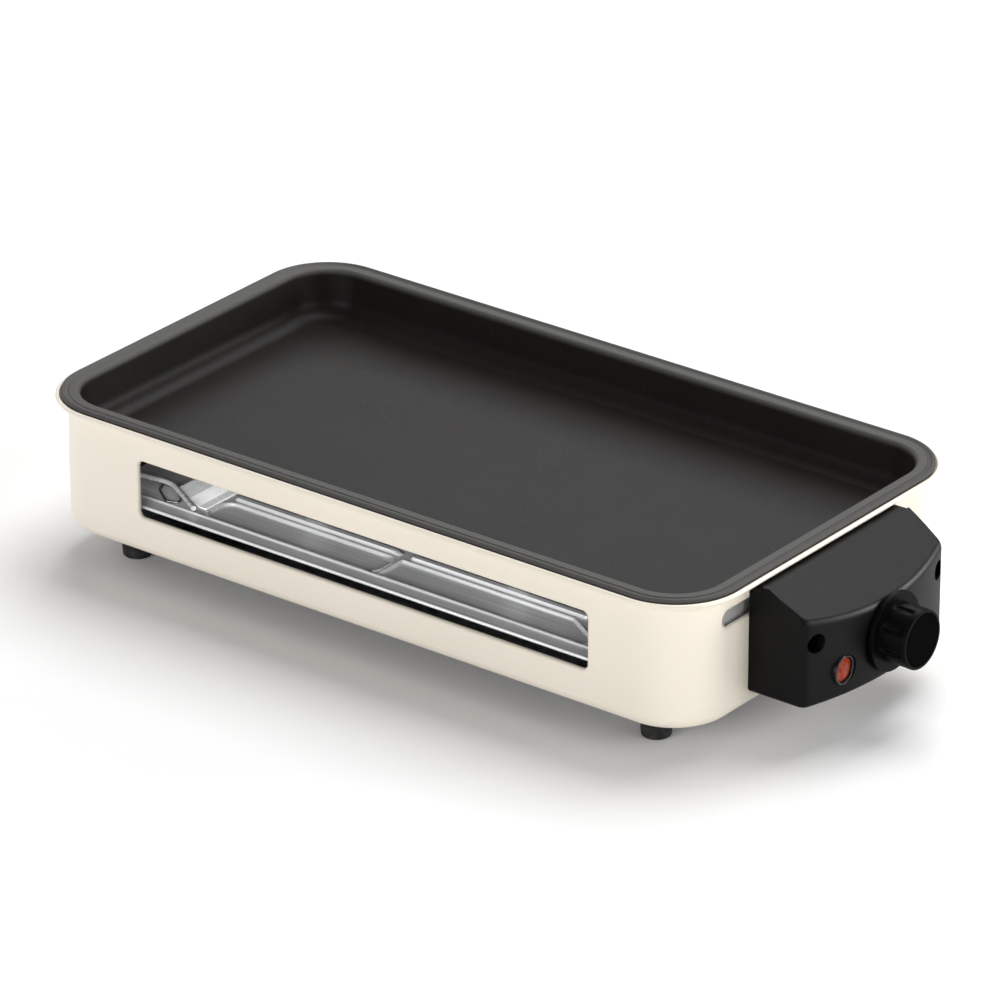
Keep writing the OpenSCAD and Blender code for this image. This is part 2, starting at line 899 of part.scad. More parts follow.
module cord_clamp() {
  color("#d8d4c8")
  translate([body_x + gland_x, box_mid + box_half - 14, gland_z]) difference() {
    union() {
      box_at([-10, -4, -8], [20, 8, 3.4]);
      box_at([-10, -4, 4.6], [20, 8, 3.4]);
    }
    for (s = [-1, 1])
      translate([s * 7.5, 0, -10]) cylinder(h = 20, r = 1.6);
  }
}

module clamp_screws() {
  color("#c9cbcc")
  translate([body_x + gland_x, box_mid + box_half - 14, gland_z])
    for (s = [-1, 1])
      translate([s * 7.5, 0, 0]) {
        translate([0, 0, -9]) cylinder(h = 17, r = 1.5);
        translate([0, 0, 8]) cylinder(h = 1.8, r = 2.8);
      }
}

module terminal_block() {
  color("#efece4")
  translate([body_x, 0, 0]) difference() {
    box_at([199.5, 14, 29.5], [13, 20, 12]);
    for (y = [19, 29]) {
      translate([206, y, 35]) cylinder(h = 10, r = 2.2);
      translate([0, y, 35]) rod_x(204, 214, 1.8);
    }
  }
}

module thermal_fuse() {
  color("#d9d2c0")
  translate([body_x + 206, box_mid, 68]) rod_y(-12, 8, 2);
}

module live_lead() {
  color("#7a4a2c")
  translate([body_x, 0, 0]) {
    bent_rod([[206, 19, 42], [206, 19, 50], [211.5, 9, 50]], 1.3);
  }
}

module neutral_lead() {
  color("#3f6db0")
  translate([body_x, 0, 0])
    bent_rod([[206, 29, 42], [206, 29, 60], [214, 17.5, 60]], 1.3);
}

module earth_lead() {
  color("#6f9a3a")
  translate([body_x, 0, 0])
    bent_rod([[218, 34.2, 29.6], [218, -20, 29.6], [204, -36, 46], [204, -36, 52],
      [200.8, -36, 52]], 1.2);
}

module earth_screw() {
  color("#c2a65a")
  translate([body_x, earth_point[0], earth_point[1]]) rod_x(plate_x - 1, 200.4, 1.75);
}

// ---- pan ----

module pan_section() {
  a = [pan_arc_rho, pan_arc_z];
  b = [pan_bend_rho, pan_bend_z];
  outer = pan_fillet + pan_sheet;
  bend = pan_bend + pan_sheet;
  translate([0, pan_floor - pan_sheet]) square([pan_arc_rho, pan_sheet]);
  translate(a) band(pan_fillet, outer, -90, -pan_draft);
  polygon([a + pan_fillet * pan_normal, a + outer * pan_normal, b - pan_bend * pan_normal,
    b - bend * pan_normal]);
  translate(b) band(pan_bend, bend, 90, 180 - pan_draft);
  translate([pan_bend_rho, pan_top - pan_sheet]) square([pan_edge - pan_bend_rho, pan_sheet]);
  translate([pan_edge, pan_curl_z]) circle(pan_curl);
}

module pan() {
  color("#2a2a2b")
  translate([body_x, 0, 0]) {
    sweep_round(cx, cy) pan_section();
    box_at([-cx, -cy, pan_floor - pan_sheet], [2 * cx, 2 * cy, pan_sheet]);
  }
}

housing();
pan_seats();
base_plate();
base_screws();
feet();
foot_screws();
foot_nuts();
reflector();
reflector_wire();
wire_loop();
reflector_clip();
heating_element();
element_seals();
element_pins();
element_bushings();
element_supports();
mounting_plate();
heat_shield();
control_box();
box_screws();
thermostat_body();
thermostat_bracket();
thermostat_screws();
thermostat_shaft();
sensor_bulb();
capillary();
knob();
knob_cap();
knob_clip();
lamp_bezel();
lamp_lens();
lamp_body();
neon_bulb();
cord_gland();
cord_clamp();
clamp_screws();
terminal_block();
thermal_fuse();
live_lead();
neutral_lead();
earth_lead();
earth_screw();
pan();
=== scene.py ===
"""Looks of the electric griddle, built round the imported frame.

Blender's lengths are metres. The object's sizes here are millimetres, and MM turns them into metres.
"""

import json
import math

import bmesh
import bpy
import numpy as np
from mathutils import Matrix, Vector


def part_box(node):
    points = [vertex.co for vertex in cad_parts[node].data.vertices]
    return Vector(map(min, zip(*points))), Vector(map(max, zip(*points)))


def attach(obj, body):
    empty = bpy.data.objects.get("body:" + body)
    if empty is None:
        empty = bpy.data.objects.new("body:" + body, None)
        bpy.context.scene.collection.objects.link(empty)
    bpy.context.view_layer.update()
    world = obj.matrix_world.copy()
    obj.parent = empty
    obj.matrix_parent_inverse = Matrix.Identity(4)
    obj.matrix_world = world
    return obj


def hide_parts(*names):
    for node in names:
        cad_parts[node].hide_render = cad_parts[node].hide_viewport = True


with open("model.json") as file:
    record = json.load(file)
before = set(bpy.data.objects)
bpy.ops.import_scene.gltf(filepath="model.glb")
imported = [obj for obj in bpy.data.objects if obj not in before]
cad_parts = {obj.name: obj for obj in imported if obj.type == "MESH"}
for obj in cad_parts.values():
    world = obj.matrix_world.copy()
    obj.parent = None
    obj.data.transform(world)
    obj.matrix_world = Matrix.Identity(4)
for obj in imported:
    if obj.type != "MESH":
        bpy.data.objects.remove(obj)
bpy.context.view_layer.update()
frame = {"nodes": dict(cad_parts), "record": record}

MM = 0.001

# The body's rectangle: every rounded shape of the body and pan shares its four corner centres.
WALL = 31.0
LIP_EDGE = WALL + 6.3
HOUSE_LO, HOUSE_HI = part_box("housing")
BODY_X = (HOUSE_LO.x + HOUSE_HI.x) / 2 / MM
CORNER_X = (HOUSE_HI.x - HOUSE_LO.x) / 2 / MM - LIP_EDGE
CORNER_Y = (HOUSE_HI.y - HOUSE_LO.y) / 2 / MM - LIP_EDGE
LIP_TOP = HOUSE_HI.z / MM
BODY_BOTTOM = HOUSE_LO.z / MM
SHEET = 1.0
WALL_X = CORNER_X + WALL
WALL_Y = CORNER_Y + WALL
CORNER_STEPS = 20

# How far a wall cutter stands out and reaches in, and a radius close to nothing for a profile's axis end.
CUT_OUT = 3
CUT_IN = 6
HAIR = 0.002

# The camera stands where the photograph was taken from, a long way off with a long lens. Its place and
# the lights' distance are metres, and the floor's reach is millimetres.
VIEW_AZIMUTH = 37.57
VIEW_ELEVATION = 25.29
VIEW_ROLL = 0.1
VIEW_DISTANCE = 3.5703
VIEW_TARGET = Vector((-0.0145, -0.0102, 0.0526))
LENS = 263.9
SENSOR = 36.0
LIGHT_DISTANCE = 3.0
WORLD_STRENGTH = 0.14
FLOOR_REACH = 6000


# ---------------------------------------------------------------- small geometry helpers


def arc(cx, cy, radius, start, end, steps):
    """Points on an arc, both ends included. Angles are degrees."""
    angles = [math.radians(start + (end - start) * i / steps) for i in range(steps + 1)]
    return [(cx + radius * math.cos(a), cy + radius * math.sin(a)) for a in angles]


def rounded_loop(half_x, half_y, radius, steps):
    """A rounded rectangle about the origin, anticlockwise."""
    loop = []
    for quarter, (sx, sy) in enumerate(((1, 1), (-1, 1), (-1, -1), (1, -1))):
        cx = sx * (half_x - radius)
        cy = sy * (half_y - radius)
        loop += arc(cx, cy, radius, 90 * quarter, 90 * quarter + 90, steps)
    return loop


def bridge(rings, closed):
    """Quads between point rings of equal length. closed joins the last ring to the first."""
    count = len(rings[0])
    verts = [p for ring in rings for p in ring]
    faces = []
    for i in range(len(rings) if closed else len(rings) - 1):
        a = i * count
        b = (i + 1) % len(rings) * count
        for j in range(count):
            k = (j + 1) % count
            faces.append((a + j, a + k, b + k, b + j))
    return verts, faces


def swept(section, closed=True, half_x=CORNER_X, half_y=CORNER_Y, steps=CORNER_STEPS):
    """Carries a section of (distance from corner centre, height) round a rounded rectangle."""
    rings = []
    corners = ((1, 1), (-1, 1), (-1, -1), (1, -1))
    stations = []
    for quarter, (sx, sy) in enumerate(corners):
        for i in range(steps + 1):
            angle = math.radians(90 * (quarter + i / steps))
            stations.append((sx * half_x, sy * half_y, math.cos(angle), math.sin(angle)))
    for rho, z in section:
        rings.append([(cx + rho * c, cy + rho * s, z) for cx, cy, c, s in stations])
    return bridge(rings, closed)


def revolved(profile, steps=64, closed=False):
    """Turns a profile of (radius, height) about Z."""
    turn = [2 * math.pi * i / steps for i in range(steps)]
    rings = [[(r * math.cos(a), r * math.sin(a), z) for a in turn] for r, z in profile]
    return bridge(rings, closed)


def tube_points(path, radius, sides=16):
    """Rings of a round wire along a list of points, square to it at each one."""
    points = [Vector(p) for p in path]
    rings = []
    across = Vector((0, 0, 1))
    for i, point in enumerate(points):
        ahead = points[min(i + 1, len(points) - 1)] - points[max(i - 1, 0)]
        ahead.normalize()
        side = ahead.cross(across)
        if side.length < 1e-4:
            side = ahead.cross(Vector((0, 1, 0)))
        side.normalize()
        up = side.cross(ahead)
        ring = []
        for k in range(sides):
            a = 2 * math.pi * k / sides
            ring.append(tuple(point + radius * (math.cos(a) * side + math.sin(a) * up)))
        rings.append(ring)
    return rings


def rounded_path(corners, radius, steps=8):
    """Straight runs through the corner points, each corner turned on a curve of about the given radius."""
    points = [Vector(p) for p in corners]
    path = [points[0]]
    for before, corner, after in zip(points, points[1:], points[2:]):
        into = (before - corner).normalized()
        away = (after - corner).normalized()
        reach = min(radius, (before - corner).length / 2, (after - corner).length / 2)
        start = corner + into * reach
        end = corner + away * reach
        for i in range(steps + 1):
            t = i / steps
            path.append(start * (1 - t) ** 2 + corner * 2 * t * (1 - t) + end * t**2)
    path.append(points[-1])
    return path


def smooth_step(value, low, high):
    """0 below low, 1 above high, and a smooth rise between."""
    t = np.clip((value - low) / (high - low), 0, 1)
    return t * t * (3 - 2 * t)


# ---------------------------------------------------------------- pieces from meshes


def make_mesh(name, verts, faces, cap=False, merge=0.0):
    """An object from millimetre vertices, outward normals, open ends closed when cap is set."""
    mesh = bpy.data.meshes.new(name)
    mesh.from_pydata([Vector(v) * MM for v in verts], [], faces)
    piece = bpy.data.objects.new(name, mesh)
    bpy.context.scene.collection.objects.link(piece)
    shape = bmesh.new()
    shape.from_mesh(mesh)
    bmesh.ops.remove_doubles(shape, verts=shape.verts, dist=max(merge, 1e-4) * MM)
    if cap:
        open_edges = [e for e in shape.edges if e.is_boundary]
        bmesh.ops.holes_fill(shape, edges=open_edges)
    bmesh.ops.recalc_face_normals(shape, faces=shape.faces)
    shape.to_mesh(mesh)
    shape.free()
    return piece


def keep_modifiers(piece):
    """Writes what the modifiers make into the mesh."""
    graph = bpy.context.evaluated_depsgraph_get()
    made = bpy.data.meshes.new_from_object(piece.evaluated_get(graph))
    piece.modifiers.clear()
    piece.data = made


def combine(piece, tool, operation="DIFFERENCE"):
    """One boolean step. The tool goes."""
    step = piece.modifiers.new("combine", "BOOLEAN")
    step.object = tool
    step.operation = operation
    step.solver = "EXACT"
    keep_modifiers(piece)
    bpy.data.objects.remove(tool)


def join(piece, others):
    """Adds the other objects' meshes to piece."""
    shape = bmesh.new()
    shape.from_mesh(piece.data)
    for other in others:
        shape.from_mesh(other.data)
        bpy.data.objects.remove(other)
    shape.to_mesh(piece.data)
    shape.free()


def place(piece, matrix):
    """Moves the mesh itself, so that the object stays at the origin."""
    piece.data.transform(matrix)
    return piece


def moved(x, y, z):
    """A shift in millimetres."""
    return Matrix.Translation(Vector((x, y, z)) * MM)


def settle(piece, look, body, nodes=(), sharp=38):
    """Shading, material, the body it rides on, and the nodes it stands for."""
    mesh = piece.data
    mesh.shade_smooth()
    mesh.set_sharp_from_angle(angle=math.radians(sharp))
    mesh.materials.clear()
    mesh.materials.append(look)
    weigh = piece.modifiers.new("weigh", "WEIGHTED_NORMAL")
    weigh.keep_sharp = True
    weigh.weight = 80
    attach(piece, body)
    if nodes:
        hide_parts(*nodes)
    return piece


# ---------------------------------------------------------------- materials


class Look:
    """A material being built from nodes. Uniform values go straight onto the shader's sockets."""

    def __init__(self, name, roughness, metallic=0.0, **sockets):
        self.material = bpy.data.materials.new(name)
        self.material.use_nodes = True
        self.tree = self.material.node_tree
        self.shader = self.tree.nodes["Principled BSDF"]
        self.shader.inputs["Metallic"].default_value = metallic
        self.shader.inputs["Roughness"].default_value = roughness
        for socket, value in sockets.items():
            self.shader.inputs[socket.replace("_", " ")].default_value = value
        self.place = self.add("ShaderNodeTexCoord").outputs["Object"]

    def add(self, kind, **settings):
        node = self.tree.nodes.new(kind)
        for name, value in settings.items():
            setattr(node, name, value)
        return node

    def link(self, source, target):
        self.tree.links.new(source, target)

    def stretched(self, x, y, z):
        """The object's own place, scaled along each axis."""
        node = self.add("ShaderNodeMapping")
        node.inputs["Scale"].default_value = (x, y, z)
        self.link(self.place, node.inputs["Vector"])
        return node.outputs["Vector"]

    def noise(self, scale, detail=3.0, where=None):
        node = self.add("ShaderNodeTexNoise")
        node.inputs["Scale"].default_value = scale
        node.inputs["Detail"].default_value = detail
        self.link(where or self.place, node.inputs["Vector"])
        return node.outputs["Fac"]

    def span(self, source, low, high, to_low, to_high):
        """Maps a range of source to another range, clamped."""
        node = self.add("ShaderNodeMapRange")
        values = ("From Min", low), ("From Max", high), ("To Min", to_low), ("To Max", to_high)
        for name, value in values:
            node.inputs[name].default_value = value
        self.link(source, node.inputs["Value"])
        return node.outputs["Result"]

    def blend(self, factor, first, second):
        """A colour between two, by factor. A colour is a tuple or another node's output."""
        node = self.add("ShaderNodeMix", data_type="RGBA")
        self.link(factor, node.inputs["Factor"])
        for socket, value in ((node.inputs[6], first), (node.inputs[7], second)):
            if isinstance(value, tuple):
                socket.default_value = (*value, 1.0)
            else:
                self.link(value, socket)
        return node.outputs[2]

    def colour(self, source):
        self.link(source, self.shader.inputs["Base Color"])

    def mottled(self, scale, detail, low, high, first, second):
        """A base colour that wanders between two with noise."""
        self.colour(self.blend(self.span(self.noise(scale, detail), low, high, 0, 1), first, second))

    def roughness(self, source):
        self.link(source, self.shader.inputs["Roughness"])

    def bump(self, source, distance, strength=1.0):
        """Adds one layer of relief, distance in millimetres."""
        node = self.add("ShaderNodeBump")
        node.inputs["Strength"].default_value = strength
        node.inputs["Distance"].default_value = distance * MM
        self.link(source, node.inputs["Height"])
        old = self.shader.inputs["Normal"]
        if old.is_linked:
            self.link(old.links[0].from_socket, node.inputs["Normal"])
        self.link(node.outputs["Normal"], old)


def cream_enamel():
    """Fired enamel: a soft gloss, faint cloudiness and a few fine specks."""
    look = Look("cream_enamel", 0.33, Coat_Weight=0.25, Coat_Roughness=0.22)
    broad = look.noise(9.0, 4.0)
    body = look.blend(look.span(broad, 0.35, 0.7, 0, 1), (0.85, 0.785, 0.675), (0.82, 0.755, 0.645))
    specks = look.noise(2600.0, 1.0)
    look.colour(look.blend(look.span(specks, 0.76, 0.82, 0, 0.35), body, (0.66, 0.6, 0.5)))
    look.roughness(look.span(look.noise(60.0, 3.0), 0.3, 0.7, 0.29, 0.38))
    look.bump(look.noise(420.0, 2.0), 0.012)
    look.bump(look.noise(1700.0, 1.0), 0.004)
    return look.material


def nonstick_coating():
    """Dark coating with fine pale flecks, and a painted sheen: the rim is coloured lighter than the inside.
    """
    look = Look("nonstick", 0.44, Specular_IOR_Level=0.11)
    broad = look.noise(30.0, 4.0)
    base = look.blend(look.span(broad, 0.3, 0.7, 0, 1), (0.0095, 0.0082, 0.0074), (0.012, 0.0104, 0.0094))
    # Painted sheen: the top few millimetres of the pan are coloured a lighter grey, standing in for the
    # light the rim catches.
    height = look.add("ShaderNodeSeparateXYZ")
    look.link(look.place, height.inputs["Vector"])
    rim = look.span(height.outputs["Z"], (PAN_TOP - 3.0) * MM, (PAN_TOP - 0.6) * MM, 0, 1)
    base = look.blend(rim, base, (0.075, 0.073, 0.071))
    flecks = look.noise(1500.0, 1.0)
    look.colour(look.blend(look.span(flecks, 0.7, 0.8, 0, 0.8), base, (0.07, 0.067, 0.065)))
    look.roughness(look.span(look.noise(1200.0, 3.0), 0.3, 0.7, 0.4, 0.48))
    look.bump(look.noise(1100.0, 2.0), 0.012)
    look.bump(look.noise(300.0, 2.0), 0.008)
    return look.material


def moulded_plastic(name, dark, light, roughness, grain, gloss):
    """Grained black plastic. grain is the relief's height in millimetres."""
    look = Look(name, roughness, Specular_IOR_Level=gloss)
    look.mottled(700.0, 3.0, 0.3, 0.7, dark, light)
    look.roughness(look.span(look.noise(900.0, 2.0), 0.3, 0.7, roughness - 0.03, roughness + 0.04))
    look.bump(look.noise(2400.0, 2.0), grain)
    return look.material


def brushed_metal(name, dark, light, roughness, along="x", metallic=1.0):
    """Bare sheet with fine rolling lines along one axis."""
    look = Look(name, roughness, metallic)
    stretch = (12.0, 900.0, 900.0) if along == "x" else (900.0, 12.0, 900.0)
    lines = look.noise(1.0, 3.0, look.stretched(*stretch))
    stains = look.noise(22.0, 4.0)
    sheen = look.blend(look.span(lines, 0.3, 0.7, 0, 1), dark, light)
    faded = tuple(0.82 * c for c in dark)
    look.colour(look.blend(look.span(stains, 0.55, 0.85, 0, 0.5), sheen, faded))
    look.roughness(look.span(stains, 0.3, 0.7, roughness - 0.05, roughness + 0.1))
    look.bump(lines, 0.006)
    return look.material


def plated_steel(name, tint, roughness, metallic=1.0):
    look = Look(name, roughness, metallic)
    dull = tuple(0.7 * c for c in tint)
    look.mottled(160.0, 4.0, 0.35, 0.75, tint, dull)
    look.roughness(look.span(look.noise(500.0, 3.0), 0.3, 0.7, roughness - 0.06, roughness + 0.12))
    look.bump(look.noise(1500.0, 2.0), 0.008)
    return look.material


def heater_sheath():
    """Oxidised steel tube, browned in bands by the heat."""
    look = Look("heater_sheath", 0.55, 0.6)
    heat = look.noise(1.0, 4.0, look.stretched(30.0, 160.0, 160.0))
    look.colour(look.blend(look.span(heat, 0.3, 0.75, 0, 1), (0.05, 0.046, 0.044), (0.13, 0.10, 0.085)))
    look.roughness(look.span(look.noise(400.0, 3.0), 0.3, 0.7, 0.45, 0.66))
    look.bump(look.noise(1300.0, 3.0), 0.02)
    return look.material


def chalky(name, light, dark, scale=300.0):
    """Ceramic, mica board, nylon and other pale matte stuff."""
    look = Look(name, 0.7)
    look.mottled(scale, 5.0, 0.3, 0.75, light, dark)
    look.bump(look.noise(1800.0, 3.0), 0.03)
    return look.material


def soft_rubber():
    look = Look("rubber", 0.75, Specular_IOR_Level=0.35)
    look.mottled(220.0, 5.0, 0.45, 0.85, (0.010, 0.010, 0.010), (0.05, 0.048, 0.045))
    look.bump(look.noise(1600.0, 3.0), 0.03)
    return look.material


def lamp_red():
    """Red plastic over a prismatic inner face, barely lit from behind."""
    look = Look("lamp_red", 0.3, Specular_IOR_Level=0.1, Coat_Weight=0.06, Subsurface_Weight=0.15)
    look.shader.inputs["Subsurface Radius"].default_value = (0.004, 0.001, 0.0006)
    cells = look.add("ShaderNodeTexVoronoi", feature="SMOOTH_F1")
    cells.inputs["Scale"].default_value = 700.0
    look.link(look.place, cells.inputs["Vector"])
    depth = cells.outputs["Distance"]
    look.colour(look.blend(look.span(depth, 0.1, 0.7, 0, 1), (0.36, 0.052, 0.018), (0.1, 0.01, 0.004)))
    look.bump(depth, 0.12)
    look.shader.inputs["Emission Color"].default_value = (1.0, 0.16, 0.05, 1.0)
    look.shader.inputs["Emission Strength"].default_value = 0.05
    return look.material


def neon_glass():
    look = Look("neon_glass", 0.05, Transmission_Weight=0.9, IOR=1.5)
    look.colour(look.blend(look.noise(600.0, 2.0), (0.95, 0.8, 0.7), (0.9, 0.6, 0.45)))
    return look.material


def wire_cover(name, tint):
    look = Look(name, 0.45)
    shade = tuple(0.6 * c for c in tint)
    look.mottled(300.0, 3.0, 0.3, 0.7, tint, shade)
    look.bump(look.noise(900.0, 2.0), 0.02)
    return look.material


def studio_floor():
    look = Look("studio_floor", 0.85, Specular_IOR_Level=0.1)
    look.colour(look.blend(look.noise(3.0, 3.0), (0.90, 0.90, 0.90), (0.88, 0.88, 0.885)))
    return look.material


BOX_BLACK = (0.003, 0.0029, 0.0028), (0.0045, 0.0043, 0.0042)
KNOB_BLACK = (0.0018, 0.0016, 0.0015), (0.0026, 0.0023, 0.0022)
RING_BLACK = (0.006, 0.006, 0.006), (0.01, 0.01, 0.01)
SHEET_GREY = (0.46, 0.465, 0.47), (0.66, 0.665, 0.67)
CLIP_GREY = (0.66, 0.665, 0.67), (0.82, 0.825, 0.83)
# A paler, barely metallic copy of the bright steel: painted light, so that the clip's ramp and shelf read
# as lit.
RAMP_GREY_PAINTED_LIGHT = (0.76, 0.765, 0.77), (0.9, 0.905, 0.91)


def all_looks():
    """Every material, by its slot's name or, for a few redrawn pieces, by its own."""
    return {
        "cream_enamel": cream_enamel(),
        "nonstick": nonstick_coating(),
        "box_plastic": moulded_plastic("box_plastic", *BOX_BLACK, 0.4, 0.012, 0.09),
        "knob_plastic": moulded_plastic("knob_plastic", *KNOB_BLACK, 0.4, 0.006, 0.05),
        "knob_face": moulded_plastic("knob_face", *KNOB_BLACK, 0.55, 0.008, 0.004),
        "bezel_plastic": moulded_plastic("bezel_plastic", *RING_BLACK, 0.25, 0.004, 0.4),
        "stainless": brushed_metal("stainless", *SHEET_GREY, 0.36, "x", 0.55),
        "bright_steel": brushed_metal("bright_steel", *CLIP_GREY, 0.28, "y", 0.6),
        "zinc_steel": plated_steel("zinc_steel", (0.50, 0.51, 0.52), 0.42),
        "screw_steel": plated_steel("screw_steel", (0.6, 0.61, 0.62), 0.28),
        "nickel_plate": plated_steel("nickel_plate", (0.62, 0.59, 0.53), 0.3),
        "dark_wire": plated_steel("dark_wire", (0.16, 0.16, 0.165), 0.4),
        "polished_wire": plated_steel("polished_wire", (0.5, 0.5, 0.505), 0.26, 0.45),
        # The clip's steel, paler than bright_steel: painted light.
        "ramp_steel": brushed_metal("ramp_steel", *RAMP_GREY_PAINTED_LIGHT, 0.3, "y", 0.2),
        "copper": plated_steel("copper", (0.72, 0.36, 0.2), 0.3),
        "brass": plated_steel("brass", (0.68, 0.5, 0.2), 0.3),
        "heater_sheath": heater_sheath(),
        "ceramic": chalky("ceramic", (0.80, 0.77, 0.69), (0.66, 0.62, 0.54)),
        "mica_board": chalky("mica_board", (0.46, 0.40, 0.29), (0.3, 0.25, 0.17), 900.0),
        "nylon": chalky("nylon", (0.74, 0.72, 0.66), (0.66, 0.64, 0.58)),
        "fuse_sleeve": chalky("fuse_sleeve", (0.64, 0.59, 0.48), (0.5, 0.45, 0.36)),
        "rubber": soft_rubber(),
        "lamp_red": lamp_red(),
        "neon_glass": neon_glass(),
        "lead_brown": wire_cover("lead_brown", (0.16, 0.06, 0.025)),
        "lead_blue": wire_cover("lead_blue", (0.03, 0.12, 0.4)),
        "lead_green": wire_cover("lead_green", (0.1, 0.3, 0.03)),
    }


def dress_cad_nodes(looks):
    """Every CAD node wears its slot's material."""
    slots = {part["node"]: part["material_slot"] for part in frame["record"]["subparts"]}
    for name, node in frame["nodes"].items():
        node.data.materials.clear()
        node.data.materials.append(looks[slots[name]])


# ---------------------------------------------------------------- body

BOTTOM_FILLET = 6.5
FLANGE_EDGE = WALL - 16
LIP_BEAD = 1.2
LIP_CENTRE = LIP_EDGE - LIP_BEAD
FLARE = LIP_CENTRE - WALL
FLARE_Z = LIP_TOP - LIP_BEAD - FLARE - SHEET / 2
BEAD_Z = LIP_TOP - LIP_BEAD
WINDOW_X = 1.0
WINDOW_HALF = 137.2, 15.05
WINDOW_Z = 52.15
WINDOW_CORNER = 3.0
WINDOW_ROLL = 1.6
WINDOW_DEPTH = 2.4
SLOT_HALF = 59.8, 4.3
SLOT_Y = -19.9
SLOT_Z = 69.7
SLOT_CORNER = 4.0
SLOT_ROLL = 1.4
SLOT_DEPTH = 2.2


def crossing_angles(radius):
    """Where a flare arc of this radius meets the bead: its angle on the arc, and on the bead."""
    gap = BEAD_Z - FLARE_Z
    along = (radius**2 - LIP_BEAD**2 + gap**2) / (2 * gap)
    aside = -math.sqrt(radius**2 - along**2)
    on_arc = math.degrees(math.atan2(along, aside))
    on_bead = math.degrees(math.atan2(along - gap, aside)) % 360
    return on_arc, on_bead


def housing_section():
    """The body sheet's cut edge: base flange, rounded foot, wall, flared lip and its rolled bead."""
    turn = WALL - BOTTOM_FILLET
    base = BODY_BOTTOM + BOTTOM_FILLET
    outer_end, bead_start = crossing_angles(FLARE)
    inner_end, bead_stop = crossing_angles(FLARE + SHEET)
    loop = [(FLANGE_EDGE, BODY_BOTTOM)]
    loop += arc(turn, base, BOTTOM_FILLET, -90, 0, 10)
    loop += arc(LIP_CENTRE, FLARE_Z, FLARE, 180, outer_end, 10)
    loop += arc(LIP_CENTRE, BEAD_Z, LIP_BEAD, bead_start, bead_stop + 360, 18)[1:-1]
    loop += arc(LIP_CENTRE, FLARE_Z, FLARE + SHEET, inner_end, 180, 10)
    loop += arc(turn, base, BOTTOM_FILLET - SHEET, 0, -90, 8)
    loop += [(FLANGE_EDGE, BODY_BOTTOM + SHEET)]
    return loop


def slab(name, loop, low, high):
    """A straight prism of an outline between two heights."""
    rings = [[(x, y, low) for x, y in loop], [(x, y, high) for x, y in loop]]
    verts, faces = bridge(rings, False)
    return make_mesh(name, verts, faces, cap=True)


def facing(direction, x, y, z):
    """Turns local Z to point into the body through a wall: 'front', 'back' or 'end'."""
    turn = {
        "front": Matrix.Rotation(math.radians(-90), 4, "X"),
        "back": Matrix.Rotation(math.radians(90), 4, "X"),
        "end": Matrix.Rotation(math.radians(90), 4, "Z") @ Matrix.Rotation(math.radians(-90), 4, "X"),
    }
    return moved(x, y, z) @ turn[direction]


def opening_roll(name, half, corner, roll, depth):
    """The rim of an opening, rolled inward: loops run from the outer skin round to the inner skin."""
    section = arc(roll, roll, roll, 270, 180, 8)
    section += arc(SHEET / 2, depth - SHEET / 2, SHEET / 2, 180, 0, 6)
    section += arc(roll, roll, roll - SHEET, 180, 270, 6)
    rings = []
    for out, level in section:
        loop = rounded_loop(half[0] + out, half[1] + out, corner + out, 10)
        rings.append([(x, y, level) for x, y in loop])
    verts, faces = bridge(rings, False)
    return make_mesh(name, verts, faces)


def build_housing(look):
    """The enamelled shell with its two long windows and the slot in the control box end."""
    verts, faces = swept(housing_section())
    shell = make_mesh("housing_shell", verts, faces)
    place(shell, moved(BODY_X, 0, 0))
    rolls = []
    for side, y in (("front", -WALL_Y), ("back", WALL_Y)):
        out = WINDOW_ROLL
        loop = rounded_loop(WINDOW_HALF[0] + out, WINDOW_HALF[1] + out, WINDOW_CORNER + out, 10)
        where = facing(side, BODY_X + WINDOW_X, y, WINDOW_Z)
        combine(shell, place(slab("cutter", loop, -CUT_OUT, CUT_IN), where))
        roll = opening_roll("roll", WINDOW_HALF, WINDOW_CORNER, WINDOW_ROLL, WINDOW_DEPTH)
        rolls.append(place(roll, where))
    out = SLOT_ROLL
    loop = rounded_loop(SLOT_HALF[0] + out, SLOT_HALF[1] + out, SLOT_CORNER + out, 10)
    where = facing("end", BODY_X + WALL_X, SLOT_Y, SLOT_Z)
    combine(shell, place(slab("cutter", loop, -CUT_OUT, CUT_IN), where))
    rolls.append(place(opening_roll("roll", SLOT_HALF, SLOT_CORNER, SLOT_ROLL, SLOT_DEPTH), where))
    join(shell, rolls)
    return settle(shell, look, "base", ["housing"], sharp=32)


# ---------------------------------------------------------------- pan

PAN_TOP = LIP_TOP + 1.3
PAN_FLOOR = PAN_TOP - 23.7
PAN_SHEET = 1.5
PAN_FILLET = 10.0
PAN_DRAFT = 9.0
PAN_BEND = 0.6
PAN_BEND_RHO = WALL - 4
PAN_EDGE = WALL + 2.6
PAN_CURL = 1.3
PAN_CURL_Z = LIP_TOP + 0.5


